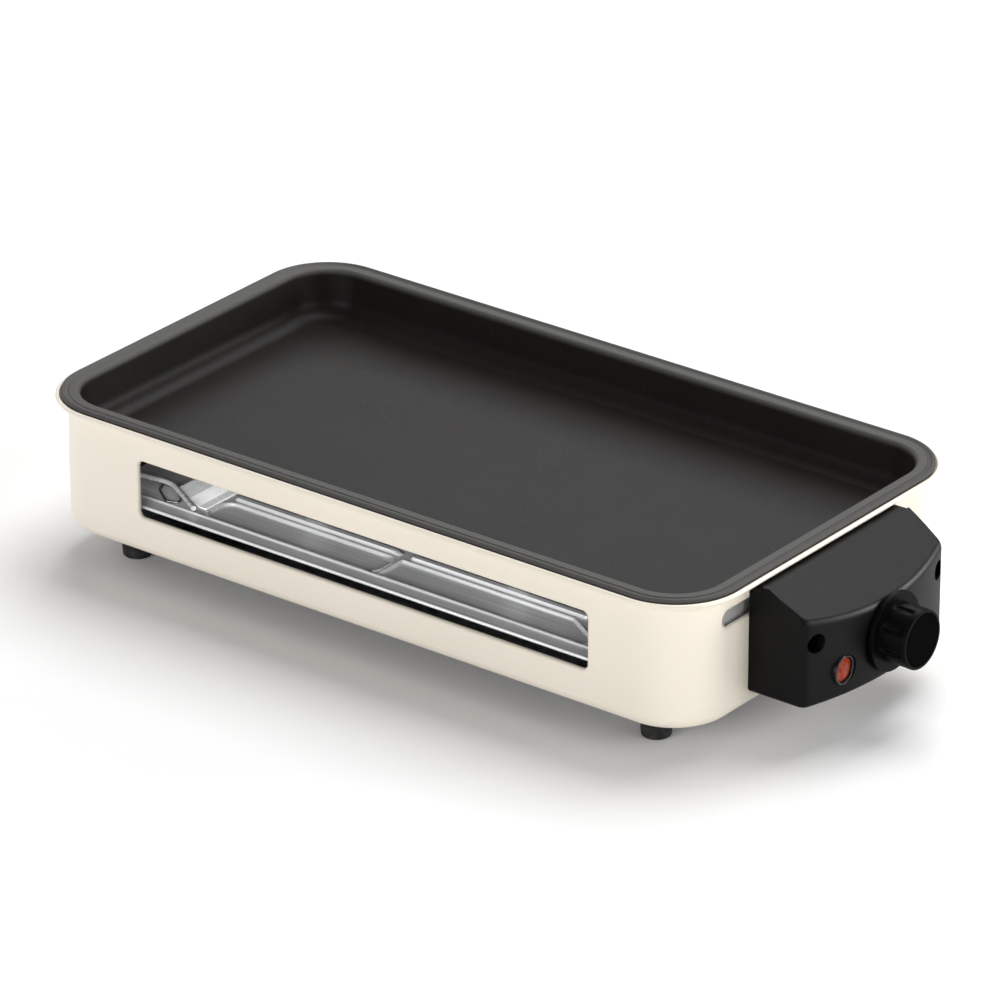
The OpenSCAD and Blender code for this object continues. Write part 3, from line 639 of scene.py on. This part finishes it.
def pan_section():
    """From the middle of the underside, out and round the curled rim, and back along the floor."""
    lean = math.radians(PAN_DRAFT)
    bend_z = PAN_TOP - PAN_SHEET - PAN_BEND
    foot_z = PAN_FLOOR + PAN_FILLET
    reach = PAN_FILLET + PAN_BEND + PAN_SHEET + (bend_z - foot_z) * math.sin(lean)
    foot = PAN_BEND_RHO - reach / math.cos(lean)
    section = [(0, PAN_FLOOR - PAN_SHEET)]
    section += arc(foot, foot_z, PAN_FILLET + PAN_SHEET, -90, -PAN_DRAFT, 12)
    section += arc(PAN_BEND_RHO, bend_z, PAN_BEND, 180 - PAN_DRAFT, 90, 4)
    section += arc(PAN_EDGE, PAN_CURL_Z, PAN_CURL, 205, 500, 18)
    section += [(WALL + 0.6, PAN_TOP - 0.35), (WALL - 0.1, PAN_TOP - 0.35), (WALL - 0.5, PAN_TOP)]
    section += arc(PAN_BEND_RHO, bend_z, PAN_BEND + PAN_SHEET, 90, 180 - PAN_DRAFT, 8)
    section += arc(foot, foot_z, PAN_FILLET, -PAN_DRAFT, -90, 12)
    section += [(0, PAN_FLOOR)]
    return section


def build_pan(look):
    """The lift-off pan: a swept wall, and a flat floor between the four corner centres."""
    verts, faces = swept(pan_section(), closed=False)
    middle = [(-CORNER_X, -CORNER_Y), (CORNER_X, -CORNER_Y), (CORNER_X, CORNER_Y), (-CORNER_X, CORNER_Y)]
    for z in (PAN_FLOOR - PAN_SHEET, PAN_FLOOR):
        first = len(verts)
        verts += [(x, y, z) for x, y in middle]
        faces.append(tuple(range(first, first + 4)))
    pan = make_mesh("pan_shell", verts, faces, merge=0.01)
    place(pan, moved(BODY_X, 0, 0))
    return settle(pan, look, "pan", ["pan"])


# ---------------------------------------------------------------- control box

BOX_LO, BOX_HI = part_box("control_box")
BOX_BACK = BOX_LO.x / MM
BOX_FRONT = BOX_HI.x / MM
BOX_Y = (BOX_LO.y + BOX_HI.y) / 2 / MM
BOX_HALF = (BOX_HI.y - BOX_LO.y) / 2 / MM
BOX_TOP = BOX_HI.z / MM
BOX_BOTTOM = BOX_LO.z / MM
BOX_ARC = 173.0
BOX_CORNER = 5.0
BOX_WALL = 2.5
STRIP_X = BODY_X + 208.5
SLOPE = 0.57
LIP_NOTCH = 1.9
NOTCH_Z = FLARE_Z - 0.7
LAMP_Y = -32.85
LAMP_Z = 39.0
RECESS_Y = 49.85
RECESS_Z = 58.0
RECESS_R = 5.0
RECESS_FLOOR = BODY_X + 205.0
TOWER_WALL = 1.5
BOX_ROUND = 2.6
LAMP_HOLE = 7.6
SPINDLE_HOLE = 5.2
GLAND_HOLE = 6.05
GLAND_DEPTH = 8.0
HOLE_DEPTH = 6.0
PROUD = 8.0
KNOB_Y = -2.0
KNOB_Z = 47.5
ARC_X = BOX_FRONT - BOX_ARC
LAMP_X = ARC_X + math.sqrt(BOX_ARC**2 - LAMP_Y**2)


def box_outline(inset):
    """Plan of the control box: flat back, bowed front, rounded vertical corners."""
    rho = BOX_ARC - BOX_CORNER
    half = BOX_HALF - BOX_CORNER
    corner_x = ARC_X + math.sqrt(rho**2 - half**2)
    swing = math.degrees(math.asin(half / rho))
    loop = [(BOX_BACK, BOX_Y - BOX_HALF + inset)]
    loop += arc(corner_x, BOX_Y - half, BOX_CORNER - inset, -90, -swing, 8)
    loop += arc(ARC_X, BOX_Y, BOX_ARC - inset, -swing, swing, 24)[1:-1]
    loop += arc(corner_x, BOX_Y + half, BOX_CORNER - inset, swing, 90, 8)
    loop += [(BOX_BACK, BOX_Y + BOX_HALF - inset)]
    return loop


def box_block(name, inset, round_over):
    """The box's outer or inner form: a prism of its plan under a sloping top, with rounded edges."""
    rings = []
    loop = box_outline(inset)
    low = BOX_BOTTOM + inset
    high = BOX_TOP - inset
    for z in (low, high):
        rings.append([(x, y, z) for x, y in loop])
    verts, faces = bridge(rings, False)
    block = make_mesh(name, verts, faces, cap=True)
    shape = bmesh.new()
    shape.from_mesh(block.data)
    plane = Vector((STRIP_X, 0, high)) * MM
    upward = Vector((SLOPE, 0, 1)).normalized()
    everything = shape.verts[:] + shape.edges[:] + shape.faces[:]
    cut = bmesh.ops.bisect_plane(shape, geom=everything, plane_co=plane, plane_no=upward, clear_outer=True)
    rim = [e for e in cut["geom_cut"] if isinstance(e, bmesh.types.BMEdge)]
    bmesh.ops.holes_fill(shape, edges=rim)
    bmesh.ops.dissolve_limit(shape, angle_limit=0.002, verts=shape.verts, edges=shape.edges)
    if round_over:
        back = (BOX_BACK + 0.01) * MM
        turned = []
        for edge in shape.edges:
            at_back = all(v.co.x < back for v in edge.verts)
            upright = abs(edge.verts[0].co.z - edge.verts[1].co.z) > 5 * MM
            if not at_back and not upright and edge.calc_face_angle(0) > 0.3:
                turned.append(edge)
        bmesh.ops.bevel(shape, geom=turned, offset=round_over * MM, segments=5, profile=0.5, affect="EDGES")
    bmesh.ops.recalc_face_normals(shape, faces=shape.faces)
    shape.to_mesh(block.data)
    shape.free()
    return block


def disc_tool(radius, depth, steps=48):
    """A cylinder along local Z for cutting round holes, depth deep and standing proud of the surface."""
    return slab("cutter", arc(0, 0, radius, 0, 360 - 360 / steps, steps - 1), -depth, PROUD)


def along_x(x, y, z):
    """Local Z becomes +X, at a point."""
    return moved(x, y, z) @ Matrix.Rotation(math.radians(90), 4, "Y")


def at_lamp():
    """The lamp's place on the bowed front, local Z pointing along +X."""
    return along_x(LAMP_X, BOX_Y + LAMP_Y, LAMP_Z)


def build_control_box(look):
    """A hollow moulding with two screw towers, cut for the lamp, spindle, gland and the body's lip."""
    block = box_block("control_box_shell", 0.0, BOX_ROUND)
    inner = box_block("cutter", BOX_WALL, 0.0)
    for side in (-1, 1):
        tower = disc_tool(RECESS_R + TOWER_WALL, BOX_FRONT - BOX_BACK + PROUD)
        place(tower, along_x(BOX_FRONT, BOX_Y + side * RECESS_Y, RECESS_Z))
        combine(inner, tower)
    combine(block, inner)
    for side in (-1, 1):
        hole = disc_tool(RECESS_R, BOX_FRONT - RECESS_FLOOR)
        combine(block, place(hole, along_x(BOX_FRONT, BOX_Y + side * RECESS_Y, RECESS_Z)))
    combine(block, place(disc_tool(LAMP_HOLE, HOLE_DEPTH), at_lamp()))
    combine(block, place(disc_tool(SPINDLE_HOLE, HOLE_DEPTH), along_x(BOX_FRONT, KNOB_Y, KNOB_Z)))
    gland_lo, gland_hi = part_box("cord_gland")
    gland = (gland_lo + gland_hi) / 2 / MM
    side_hole = disc_tool(GLAND_HOLE, GLAND_DEPTH)
    turn = Matrix.Rotation(math.radians(-90), 4, "X")
    combine(block, place(side_hole, moved(gland.x, BOX_Y + BOX_HALF, gland.z) @ turn))
    behind = BOX_BACK - 1
    ahead = BOX_BACK + LIP_NOTCH
    low_y = BOX_Y - BOX_HALF - PROUD
    high_y = BOX_Y + BOX_HALF + PROUD
    notch = [(behind, low_y), (ahead, low_y), (ahead, high_y), (behind, high_y)]
    combine(block, slab("cutter", notch, NOTCH_Z, BOX_TOP + PROUD))
    return settle(block, look, "base", ["control_box"], sharp=30)


RING_OUTER = 7.5
RING_INNER = 6.1
RING_BEAD = 0.6
RING_DEPTH = 5.0
LENS_R = 6.0
LENS_TOP = 0.3
LENS_BACK = -2.6
DOME_R = 17.0
DOME_SPREAD = 0.36


def build_lamp(looks):
    """Red lens with a shallow dome, in a ring that stands a little proud of the box."""
    rim = arc(RING_OUTER - RING_BEAD, 0.0, RING_BEAD, 0, 180, 8)
    profile = [(RING_OUTER, -RING_DEPTH)] + rim + [(RING_INNER, -RING_BEAD), (RING_INNER, -RING_DEPTH)]
    verts, faces = revolved(profile, 72, closed=True)
    ring = make_mesh("lamp_ring", verts, faces)
    place(ring, at_lamp())
    settle(ring, looks["bezel_plastic"], "base", ["lamp_bezel"])
    swing = np.linspace(DOME_SPREAD, HAIR, 14)
    crown = [(DOME_R * math.sin(a), LENS_TOP - DOME_R * (1 - math.cos(a))) for a in swing]
    skirt = [(HAIR, LENS_BACK), (LENS_R, LENS_BACK)]
    verts, faces = revolved(skirt + crown, 72)
    lens = make_mesh("lamp_cap", verts, faces, cap=True)
    place(lens, at_lamp())
    settle(lens, looks["lamp_red"], "base", ["lamp_lens"])


# ---------------------------------------------------------------- knob

KNOB_LO, KNOB_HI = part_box("knob")
KNOB_BACK = KNOB_LO.x / MM
KNOB_FACE = KNOB_HI.x / MM
SKIRT_R = (KNOB_HI.z - KNOB_LO.z) / 2 / MM
GRIP_R = 15.0
SKIRT_T = 2.2
FLUTES = 8
FLUTE_START = 14.0
FLUTE_R = 3.0
FLUTE_DEPTH = 0.9
FLUTE_LEVELS = (3.5, 0.35), (4.0, 0.8), (4.8, 1), (8, 1), (12.4, 1), (13.2, 0.85), (13.9, 0.4)
FLUTE_END = 14.5
BORE_R = 3.06
HUB_R = 6.0
HOLLOW_R = 12.0
ROOF = 3.0
EDGE = 0.3
GRIP_EDGE = 0.7
FACE_RIM = 1.5
FACE_LIP = 1.65
FACE_SINK = 0.85
CAP_R = GRIP_R - 1.7
CAP_EDGE = 0.15
TURN_STEPS = 240


def fluted(radius, angle, share):
    """The grip's radius at an angle, cut by round flutes to a share of their depth."""
    pitch = 2 * math.pi / FLUTES
    off = (angle - math.radians(FLUTE_START) + pitch / 2) % pitch - pitch / 2
    centre = radius + FLUTE_R - FLUTE_DEPTH * share
    reach = FLUTE_R**2 - (centre * math.sin(off)) ** 2
    if reach <= 0 or share <= 0:
        return radius
    return min(radius, centre * math.cos(off) - math.sqrt(reach))


def build_knob(looks):
    """Skirt, fluted grip and dished face in one moulding, hollow behind."""
    face = KNOB_FACE - KNOB_BACK
    low = [(BORE_R, 0.0), (HUB_R, 0.0), (HUB_R, face - ROOF), (HOLLOW_R, face - ROOF), (HOLLOW_R, 0.0)]
    low += arc(SKIRT_R - EDGE, EDGE, EDGE, -90, 0, 4)
    low += arc(SKIRT_R - EDGE, SKIRT_T - EDGE, EDGE, 0, 90, 5)
    low += arc(GRIP_R + EDGE, SKIRT_T + EDGE, EDGE, 270, 180, 4)
    high = [(GRIP_R, FLUTE_END), (GRIP_R, face - 0.9)]
    high += arc(GRIP_R - GRIP_EDGE, face - GRIP_EDGE, GRIP_EDGE, 0, 90, 5)
    high += [(GRIP_R - FACE_RIM, face), (GRIP_R - FACE_LIP, face - EDGE)]
    high += [(GRIP_R - FACE_LIP, face - FACE_SINK), (BORE_R, face - FACE_SINK)]
    stations = [(r, z, 0) for r, z in low]
    stations += [(GRIP_R, level, share) for level, share in FLUTE_LEVELS]
    stations += [(r, z, 0) for r, z in high]
    rings = []
    for radius, level, share in stations:
        ring = []
        for i in range(TURN_STEPS):
            a = 2 * math.pi * i / TURN_STEPS
            r = fluted(radius, a, share)
            ring.append((level, -r * math.sin(a), r * math.cos(a)))
        rings.append(ring)
    verts, faces = bridge(rings, True)
    knob = make_mesh("knob_moulding", verts, faces)
    place(knob, moved(KNOB_BACK, KNOB_Y, KNOB_Z))
    settle(knob, looks["knob_plastic"], "knob", ["knob"])
    cap_lo, cap_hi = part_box("knob_cap")
    thick = (cap_hi.x - cap_lo.x) / MM
    profile = [(HAIR, 0), (CAP_R, 0), (CAP_R, thick - CAP_EDGE), (CAP_R - CAP_EDGE, thick), (HAIR, thick)]
    verts, faces = revolved(profile, 96)
    cap = make_mesh("knob_disc", verts, faces, cap=True)
    place(cap, along_x(cap_lo.x / MM, KNOB_Y, KNOB_Z))
    settle(cap, looks["knob_face"], "knob", ["knob_cap"])


# ---------------------------------------------------------------- reflector

REFLECTOR_TOP = 39.0
REFLECTOR_SHEET = 0.6
REFLECTOR_HALF = 170.0, 100.0
REFLECTOR_CORNER = 22.0
PLATE_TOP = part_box("base_plate")[1].z / MM
HEM_R = 0.9
HEM_DROP = 0.5
LEG_X = 165.0
LEG_TOE = 175.4
LEG_HALF = 70.0

# Pressings as centre x, centre y, half length, half width and corner radius.
STRIP_LEFT = (-57, -65.5, 52, 2.5, 2.4)
STRIP_RIGHT = (54.75, -65.5, 54.25, 2.5, 2.4)
PANEL_LEFT = (-57, -80, 53, 9.5, 6)
PANEL_RIGHT = (61, -80, 62, 9.5, 1.0)
FRONT_BEAD = (0, -91.5, 150, 0.9, 0.8)
BASIN = (0, 0, 142, 52, 16)
STRIP_RISE = 1.5
BEAD_RISE = 0.8
PANEL_SINK = 1.0
PANEL_BORDER = 0.5
BASIN_SINK = 3.0
CHAMFER_END = 123, -82.5
CHAMFER_SLOPE = 0.51, 0.86

# The sheet's grid is finer where a pressing has an edge.
FINE_X = (-113, -102), (-7, 3), (98, 126), (-144, -137), (135, 144)
FINE_Y = (-97, -61), (60, 73), (86, 95), (-54, -47), (46, 54)
COARSE_STEP = 4.0, 3.0
FINE_STEP = 0.5, 0.4


def inside_round_box(x, y, cx, cy, half_x, half_y, radius):
    """Distance inside a rounded rectangle, positive inside."""
    qx = np.abs(x - cx) - (half_x - radius)
    qy = np.abs(y - cy) - (half_y - radius)
    outside = np.hypot(np.maximum(qx, 0), np.maximum(qy, 0))
    return radius - outside - np.minimum(np.maximum(qx, qy), 0)


def pressed_height(x, y):
    """Height of the pressed sheet above its plain level. The back half mirrors the front half."""
    front = -np.abs(y)
    strips = np.maximum(inside_round_box(x, front, *STRIP_LEFT), inside_round_box(x, front, *STRIP_RIGHT))
    chamfer = (CHAMFER_END[0] - x) * CHAMFER_SLOPE[0] - (front - CHAMFER_END[1]) * CHAMFER_SLOPE[1]
    panel_right = np.minimum(inside_round_box(x, front, *PANEL_RIGHT), chamfer)
    panels = np.maximum(inside_round_box(x, front, *PANEL_LEFT), panel_right)
    bead = inside_round_box(x, front, *FRONT_BEAD)
    basin = inside_round_box(x, y, *BASIN)
    height = STRIP_RISE * smooth_step(strips, 0.0, 1.1)
    height += BEAD_RISE * smooth_step(bead, -0.1, 0.8)
    height -= PANEL_SINK * smooth_step(panels, 0.0, 0.9)
    height += PANEL_BORDER * np.exp(-(((panels + 0.55) / 0.5) ** 2))
    height -= BASIN_SINK * smooth_step(basin, 0.0, 4.0)
    return height


def grid_lines(low, high, coarse, fine_zones, fine):
    """Grid positions, closer together inside the given zones."""
    lines = [low]
    while lines[-1] < high:
        here = lines[-1]
        dense = any(a <= here <= b for a, b in fine_zones)
        lines.append(min(high, here + (fine if dense else coarse)))
    return np.array(lines)


def reflector_grid():
    """Points and quads of the pressed sheet: a square grid whose corners are drawn in to a round."""
    half_x, half_y = REFLECTOR_HALF
    xs = grid_lines(-half_x, half_x, COARSE_STEP[0], FINE_X, FINE_STEP[0])
    ys = grid_lines(-half_y, half_y, COARSE_STEP[1], FINE_Y, FINE_STEP[1])
    u, v = np.meshgrid(xs, ys, indexing="ij")
    flat_x = half_x - REFLECTOR_CORNER
    flat_y = half_y - REFLECTOR_CORNER
    a = np.maximum(np.abs(u) - flat_x, 0) / REFLECTOR_CORNER
    b = np.maximum(np.abs(v) - flat_y, 0) / REFLECTOR_CORNER
    x = np.where(a > 0, np.sign(u) * (flat_x + REFLECTOR_CORNER * a * np.sqrt(1 - b**2 / 2)), u)
    y = np.where(b > 0, np.sign(v) * (flat_y + REFLECTOR_CORNER * b * np.sqrt(1 - a**2 / 2)), v)
    z = REFLECTOR_TOP + pressed_height(x, y)
    verts = list(zip(x.ravel(), y.ravel(), z.ravel()))
    rows = len(ys)
    faces = []
    for i in range(len(xs) - 1):
        for j in range(rows - 1):
            k = i * rows + j
            faces.append((k, k + rows, k + rows + 1, k + 1))
    return verts, faces


def build_reflector(look):
    """The pressed sheet, with a rolled hem on its long edges and a folded leg at each end."""
    half_x, half_y = REFLECTOR_HALF
    flat_x = half_x - REFLECTOR_CORNER
    verts, faces = reflector_grid()
    sheet = make_mesh("reflector_sheet", verts, faces)
    thicken = sheet.modifiers.new("thicken", "SOLIDIFY")
    thicken.thickness = REFLECTOR_SHEET * MM
    thicken.offset = -1.0 if sheet.data.polygons[0].normal.z > 0 else 1.0
    keep_modifiers(sheet)
    parts = []
    for side in (-1, 1):
        run = [(x, side * half_y, REFLECTOR_TOP - HEM_DROP) for x in (-flat_x, flat_x)]
        verts, faces = bridge(tube_points(run, HEM_R, 20), False)
        parts.append(make_mesh("hem", verts, faces, cap=True))
        leg = arc(LEG_X - 0.9, REFLECTOR_TOP - 1.2, 0.9, 90, 0, 5)
        leg += arc(LEG_X + 1.5, PLATE_TOP + 2.1, 1.5, 180, 270, 5)
        leg += [(LEG_TOE, PLATE_TOP + REFLECTOR_SHEET), (LEG_TOE, PLATE_TOP)]
        leg += arc(LEG_X + 1.5, PLATE_TOP + 2.1, 2.1, 270, 180, 5)
        leg += arc(LEG_X - 0.9, REFLECTOR_TOP - 1.2, 0.3, 0, 90, 3)
        rings = [[(side * x, y, z) for x, z in leg] for y in (-LEG_HALF, LEG_HALF)]
        verts, faces = bridge(rings, False)
        parts.append(make_mesh("leg", verts, faces, cap=True))
    join(sheet, parts)
    place(sheet, moved(BODY_X, 0, 0))
    return settle(sheet, look, "base", ["reflector"], sharp=50)


WIRE_CORNERS = (-172, -80, 42.2), (-141, -76.2, 42.2), (-114.2, -92.2, 42.2)
WIRE_R = 1.3
WIRE_TURN = 6.0
LOOP_CORNERS = (
    (-144.8, -81.6),
    (-147.1, -76.0),
    (-140.8, -74.5),
    (-129.5, -83.2),
    (-128.0, -87.5),
    (-134.0, -89.8),
)
LOOP_TURN = 1.2
LOOP_HALF = 0.6, 0.55
SHELF_Z = 3.5
SHELF_X = -135.4, -122.6
SHELF_Y = -84.7, -60.0
SHELF_CUT = -77.6
RAMP_X = -122.7, -117.2, -112.5


def build_bent_wire(look):
    """The wire that crosses the left end of the reflector, bent once."""
    verts, faces = bridge(tube_points(rounded_path(WIRE_CORNERS, WIRE_TURN), WIRE_R), False)
    wire = make_mesh("bent_wire", verts, faces, cap=True)
    place(wire, moved(BODY_X, 0, 0))
    return settle(wire, look, "base", ["reflector_wire"])


def build_wire_loop(look):
    """A closed six-sided loop of thin wire, lying on the sheet."""
    upward = Vector((0, 0, 1))
    points = [Vector((x, y, REFLECTOR_TOP + REFLECTOR_SHEET)) for x, y in LOOP_CORNERS]
    path = []
    for i, corner in enumerate(points):
        start = corner + (points[i - 1] - corner).normalized() * LOOP_TURN
        end = corner + (points[(i + 1) % len(points)] - corner).normalized() * LOOP_TURN
        path += [start * (1 - t) ** 2 + corner * 2 * t * (1 - t) + end * t**2 for t in np.linspace(0, 1, 6)]
    round_wire = np.linspace(0, 2 * math.pi, 13)[:-1]
    rings = []
    for i, point in enumerate(path):
        ahead = (path[(i + 1) % len(path)] - path[i - 1]).normalized()
        side = ahead.cross(upward) * LOOP_HALF[0]
        rise = upward * LOOP_HALF[1]
        rings.append([tuple(point + math.cos(a) * side + math.sin(a) * rise) for a in round_wire])
    verts, faces = bridge(rings, True)
    loop = make_mesh("hex_loop", verts, faces)
    place(loop, moved(BODY_X, 0, 0))
    return settle(loop, look, "base", ["wire_loop"])


def build_clip(look):
    """A bent tab: a leg, a level shelf, and a bright ramp down to the sheet."""
    left, right = SHELF_X
    front, back = SHELF_Y
    shelf = [(left, SHELF_CUT), (right, front), (right, back), (left, back)]
    tab = slab("bent_tab", shelf, SHELF_Z - REFLECTOR_SHEET, SHELF_Z)
    inner = left + REFLECTOR_SHEET
    leg = [(left, SHELF_CUT + 1.6), (inner, SHELF_CUT + 1.6), (inner, back), (left, back)]
    top, foot, toe = RAMP_X
    section = [(top, SHELF_Z), (foot, 0.65), (foot + 0.4, 0.6), (toe, 0.6), (toe, 0.05)]
    section += [(foot, 0.05), (top, SHELF_Z - 0.7)]
    rings = [[(x, y, z) for x, z in section] for y in SHELF_Y]
    verts, faces = bridge(rings, False)
    ramp = make_mesh("ramp", verts, faces, cap=True)
    join(tab, [slab("leg", leg, 0, SHELF_Z), ramp])
    edge = tab.modifiers.new("edge", "BEVEL")
    edge.width = 0.12 * MM
    edge.segments = 2
    edge.limit_method = "ANGLE"
    keep_modifiers(tab)
    place(tab, moved(BODY_X, 0, REFLECTOR_TOP))
    return settle(tab, look, "base", ["reflector_clip"])


# ---------------------------------------------------------------- feet

FOOT_X = 160.0
FOOT_Y = 81.4


def build_feet(look):
    """Four rubber feet: a taper with a rounded toe and a hollow for the screw."""
    top = BODY_BOTTOM + SHEET
    profile = [(2.3, top), (2.3, 9.0), (4.0, 9.0), (4.0, 0.3), (4.3, 0.0)]
    profile += arc(6.0, 1.5, 1.5, -90, 0, 6)
    profile += [(8.45, top - 0.4), (8.2, top)]
    verts, faces = revolved(profile, 56, closed=True)
    feet = []
    for sx in (-1, 1):
        for sy in (-1, 1):
            foot = make_mesh("rubber_foot", verts, faces)
            feet.append(place(foot, moved(BODY_X + sx * FOOT_X, sy * FOOT_Y, 0)))
    first = feet[0]
    first.name = "rubber_feet"
    join(first, feet[1:])
    settle(first, look, "base", ["feet"])


# ---------------------------------------------------------------- camera, floor and lights


def build_camera():
    """The photograph's view: direction, roll and lens."""
    azimuth = math.radians(VIEW_AZIMUTH)
    elevation = math.radians(VIEW_ELEVATION)
    level = math.cos(elevation)
    back = Vector((math.sin(azimuth) * level, -math.cos(azimuth) * level, math.sin(elevation)))
    data = bpy.data.cameras.new("camera")
    data.lens = LENS
    data.sensor_width = SENSOR
    data.clip_end = 50.0
    camera = bpy.data.objects.new("camera", data)
    bpy.context.scene.collection.objects.link(camera)
    camera.location = VIEW_TARGET + back * VIEW_DISTANCE
    turn = (-back).to_track_quat("-Z", "Y").to_matrix().to_4x4()
    roll = Matrix.Rotation(math.radians(VIEW_ROLL), 4, "Z")
    camera.rotation_euler = (turn @ roll).to_euler()
    bpy.context.scene.camera = camera


def soft_light(name, azimuth, elevation, size, strength, only=None):
    """A square softbox aimed at the object. Azimuth 0 stands in front, 90 at the control box end.

    A strength of 1 shows a white card that faces the light as white. only names the pieces it lights.
    """
    a = math.radians(azimuth)
    e = math.radians(elevation)
    back = Vector((math.sin(a) * math.cos(e), -math.cos(a) * math.cos(e), math.sin(e)))
    data = bpy.data.lights.new(name, "AREA")
    data.shape = "SQUARE"
    data.size = size
    data.energy = strength * (math.pi * LIGHT_DISTANCE) ** 2
    light = bpy.data.objects.new(name, data)
    bpy.context.scene.collection.objects.link(light)
    light.location = back * LIGHT_DISTANCE
    light.rotation_euler = (-back).to_track_quat("-Z", "Y").to_euler()
    if only:
        group = bpy.data.collections.new(name + "_receivers")
        for piece in only:
            group.objects.link(piece)
        light.light_linking.receiver_collection = group


def build_studio(inside, box):
    """Pale floor, white world and softboxes. The last five lights are for a few pieces each."""
    corners = [(-FLOOR_REACH, -FLOOR_REACH, 0), (FLOOR_REACH, -FLOOR_REACH, 0)]
    corners += [(FLOOR_REACH, FLOOR_REACH, 0), (-FLOOR_REACH, FLOOR_REACH, 0)]
    floor = make_mesh("studio_floor", corners, [(0, 1, 2, 3)])
    floor.data.materials.append(studio_floor())
    world = bpy.data.worlds.new("studio")
    world.use_nodes = True
    sky = world.node_tree.nodes["Background"]
    sky.inputs["Color"].default_value = (1.0, 0.995, 0.985, 1.0)
    sky.inputs["Strength"].default_value = WORLD_STRENGTH
    bpy.context.scene.world = world
    bpy.context.scene.view_settings.view_transform = "Standard"
    soft_light("key", 184, 63, 2.2, 0.92)
    soft_light("rim", 217, 30, 1.2, 0.12)
    soft_light("front", -2, 13, 1.8, 0.54)
    soft_light("side", 94, 18, 1.8, 0.44)
    soft_light("edge", 138, 15, 1.2, 0.4)
    soft_light("left", 272, 20, 1.8, 0.15)
    soft_light("slope", 172, 44, 1.4, 0.24, [box])
    soft_light("ridge", 140, 15, 0.8, 0.8, [box])
    soft_light("window_fill", 14, 20, 1.4, 0.85, inside)
    soft_light("window_side", 46, 16, 1.0, 0.9, inside)
    soft_light("window_low", 24, 7, 0.8, 0.7, inside)


looks = all_looks()
dress_cad_nodes(looks)
build_camera()
build_housing(looks["cream_enamel"])
build_pan(looks["nonstick"])
box = build_control_box(looks["box_plastic"])
build_lamp(looks)
build_knob(looks)
inside = [
    build_reflector(looks["stainless"]),
    build_bent_wire(looks["polished_wire"]),
    build_wire_loop(looks["dark_wire"]),
    build_clip(looks["ramp_steel"]),
]
build_feet(looks["rubber"])
build_studio(inside, box)
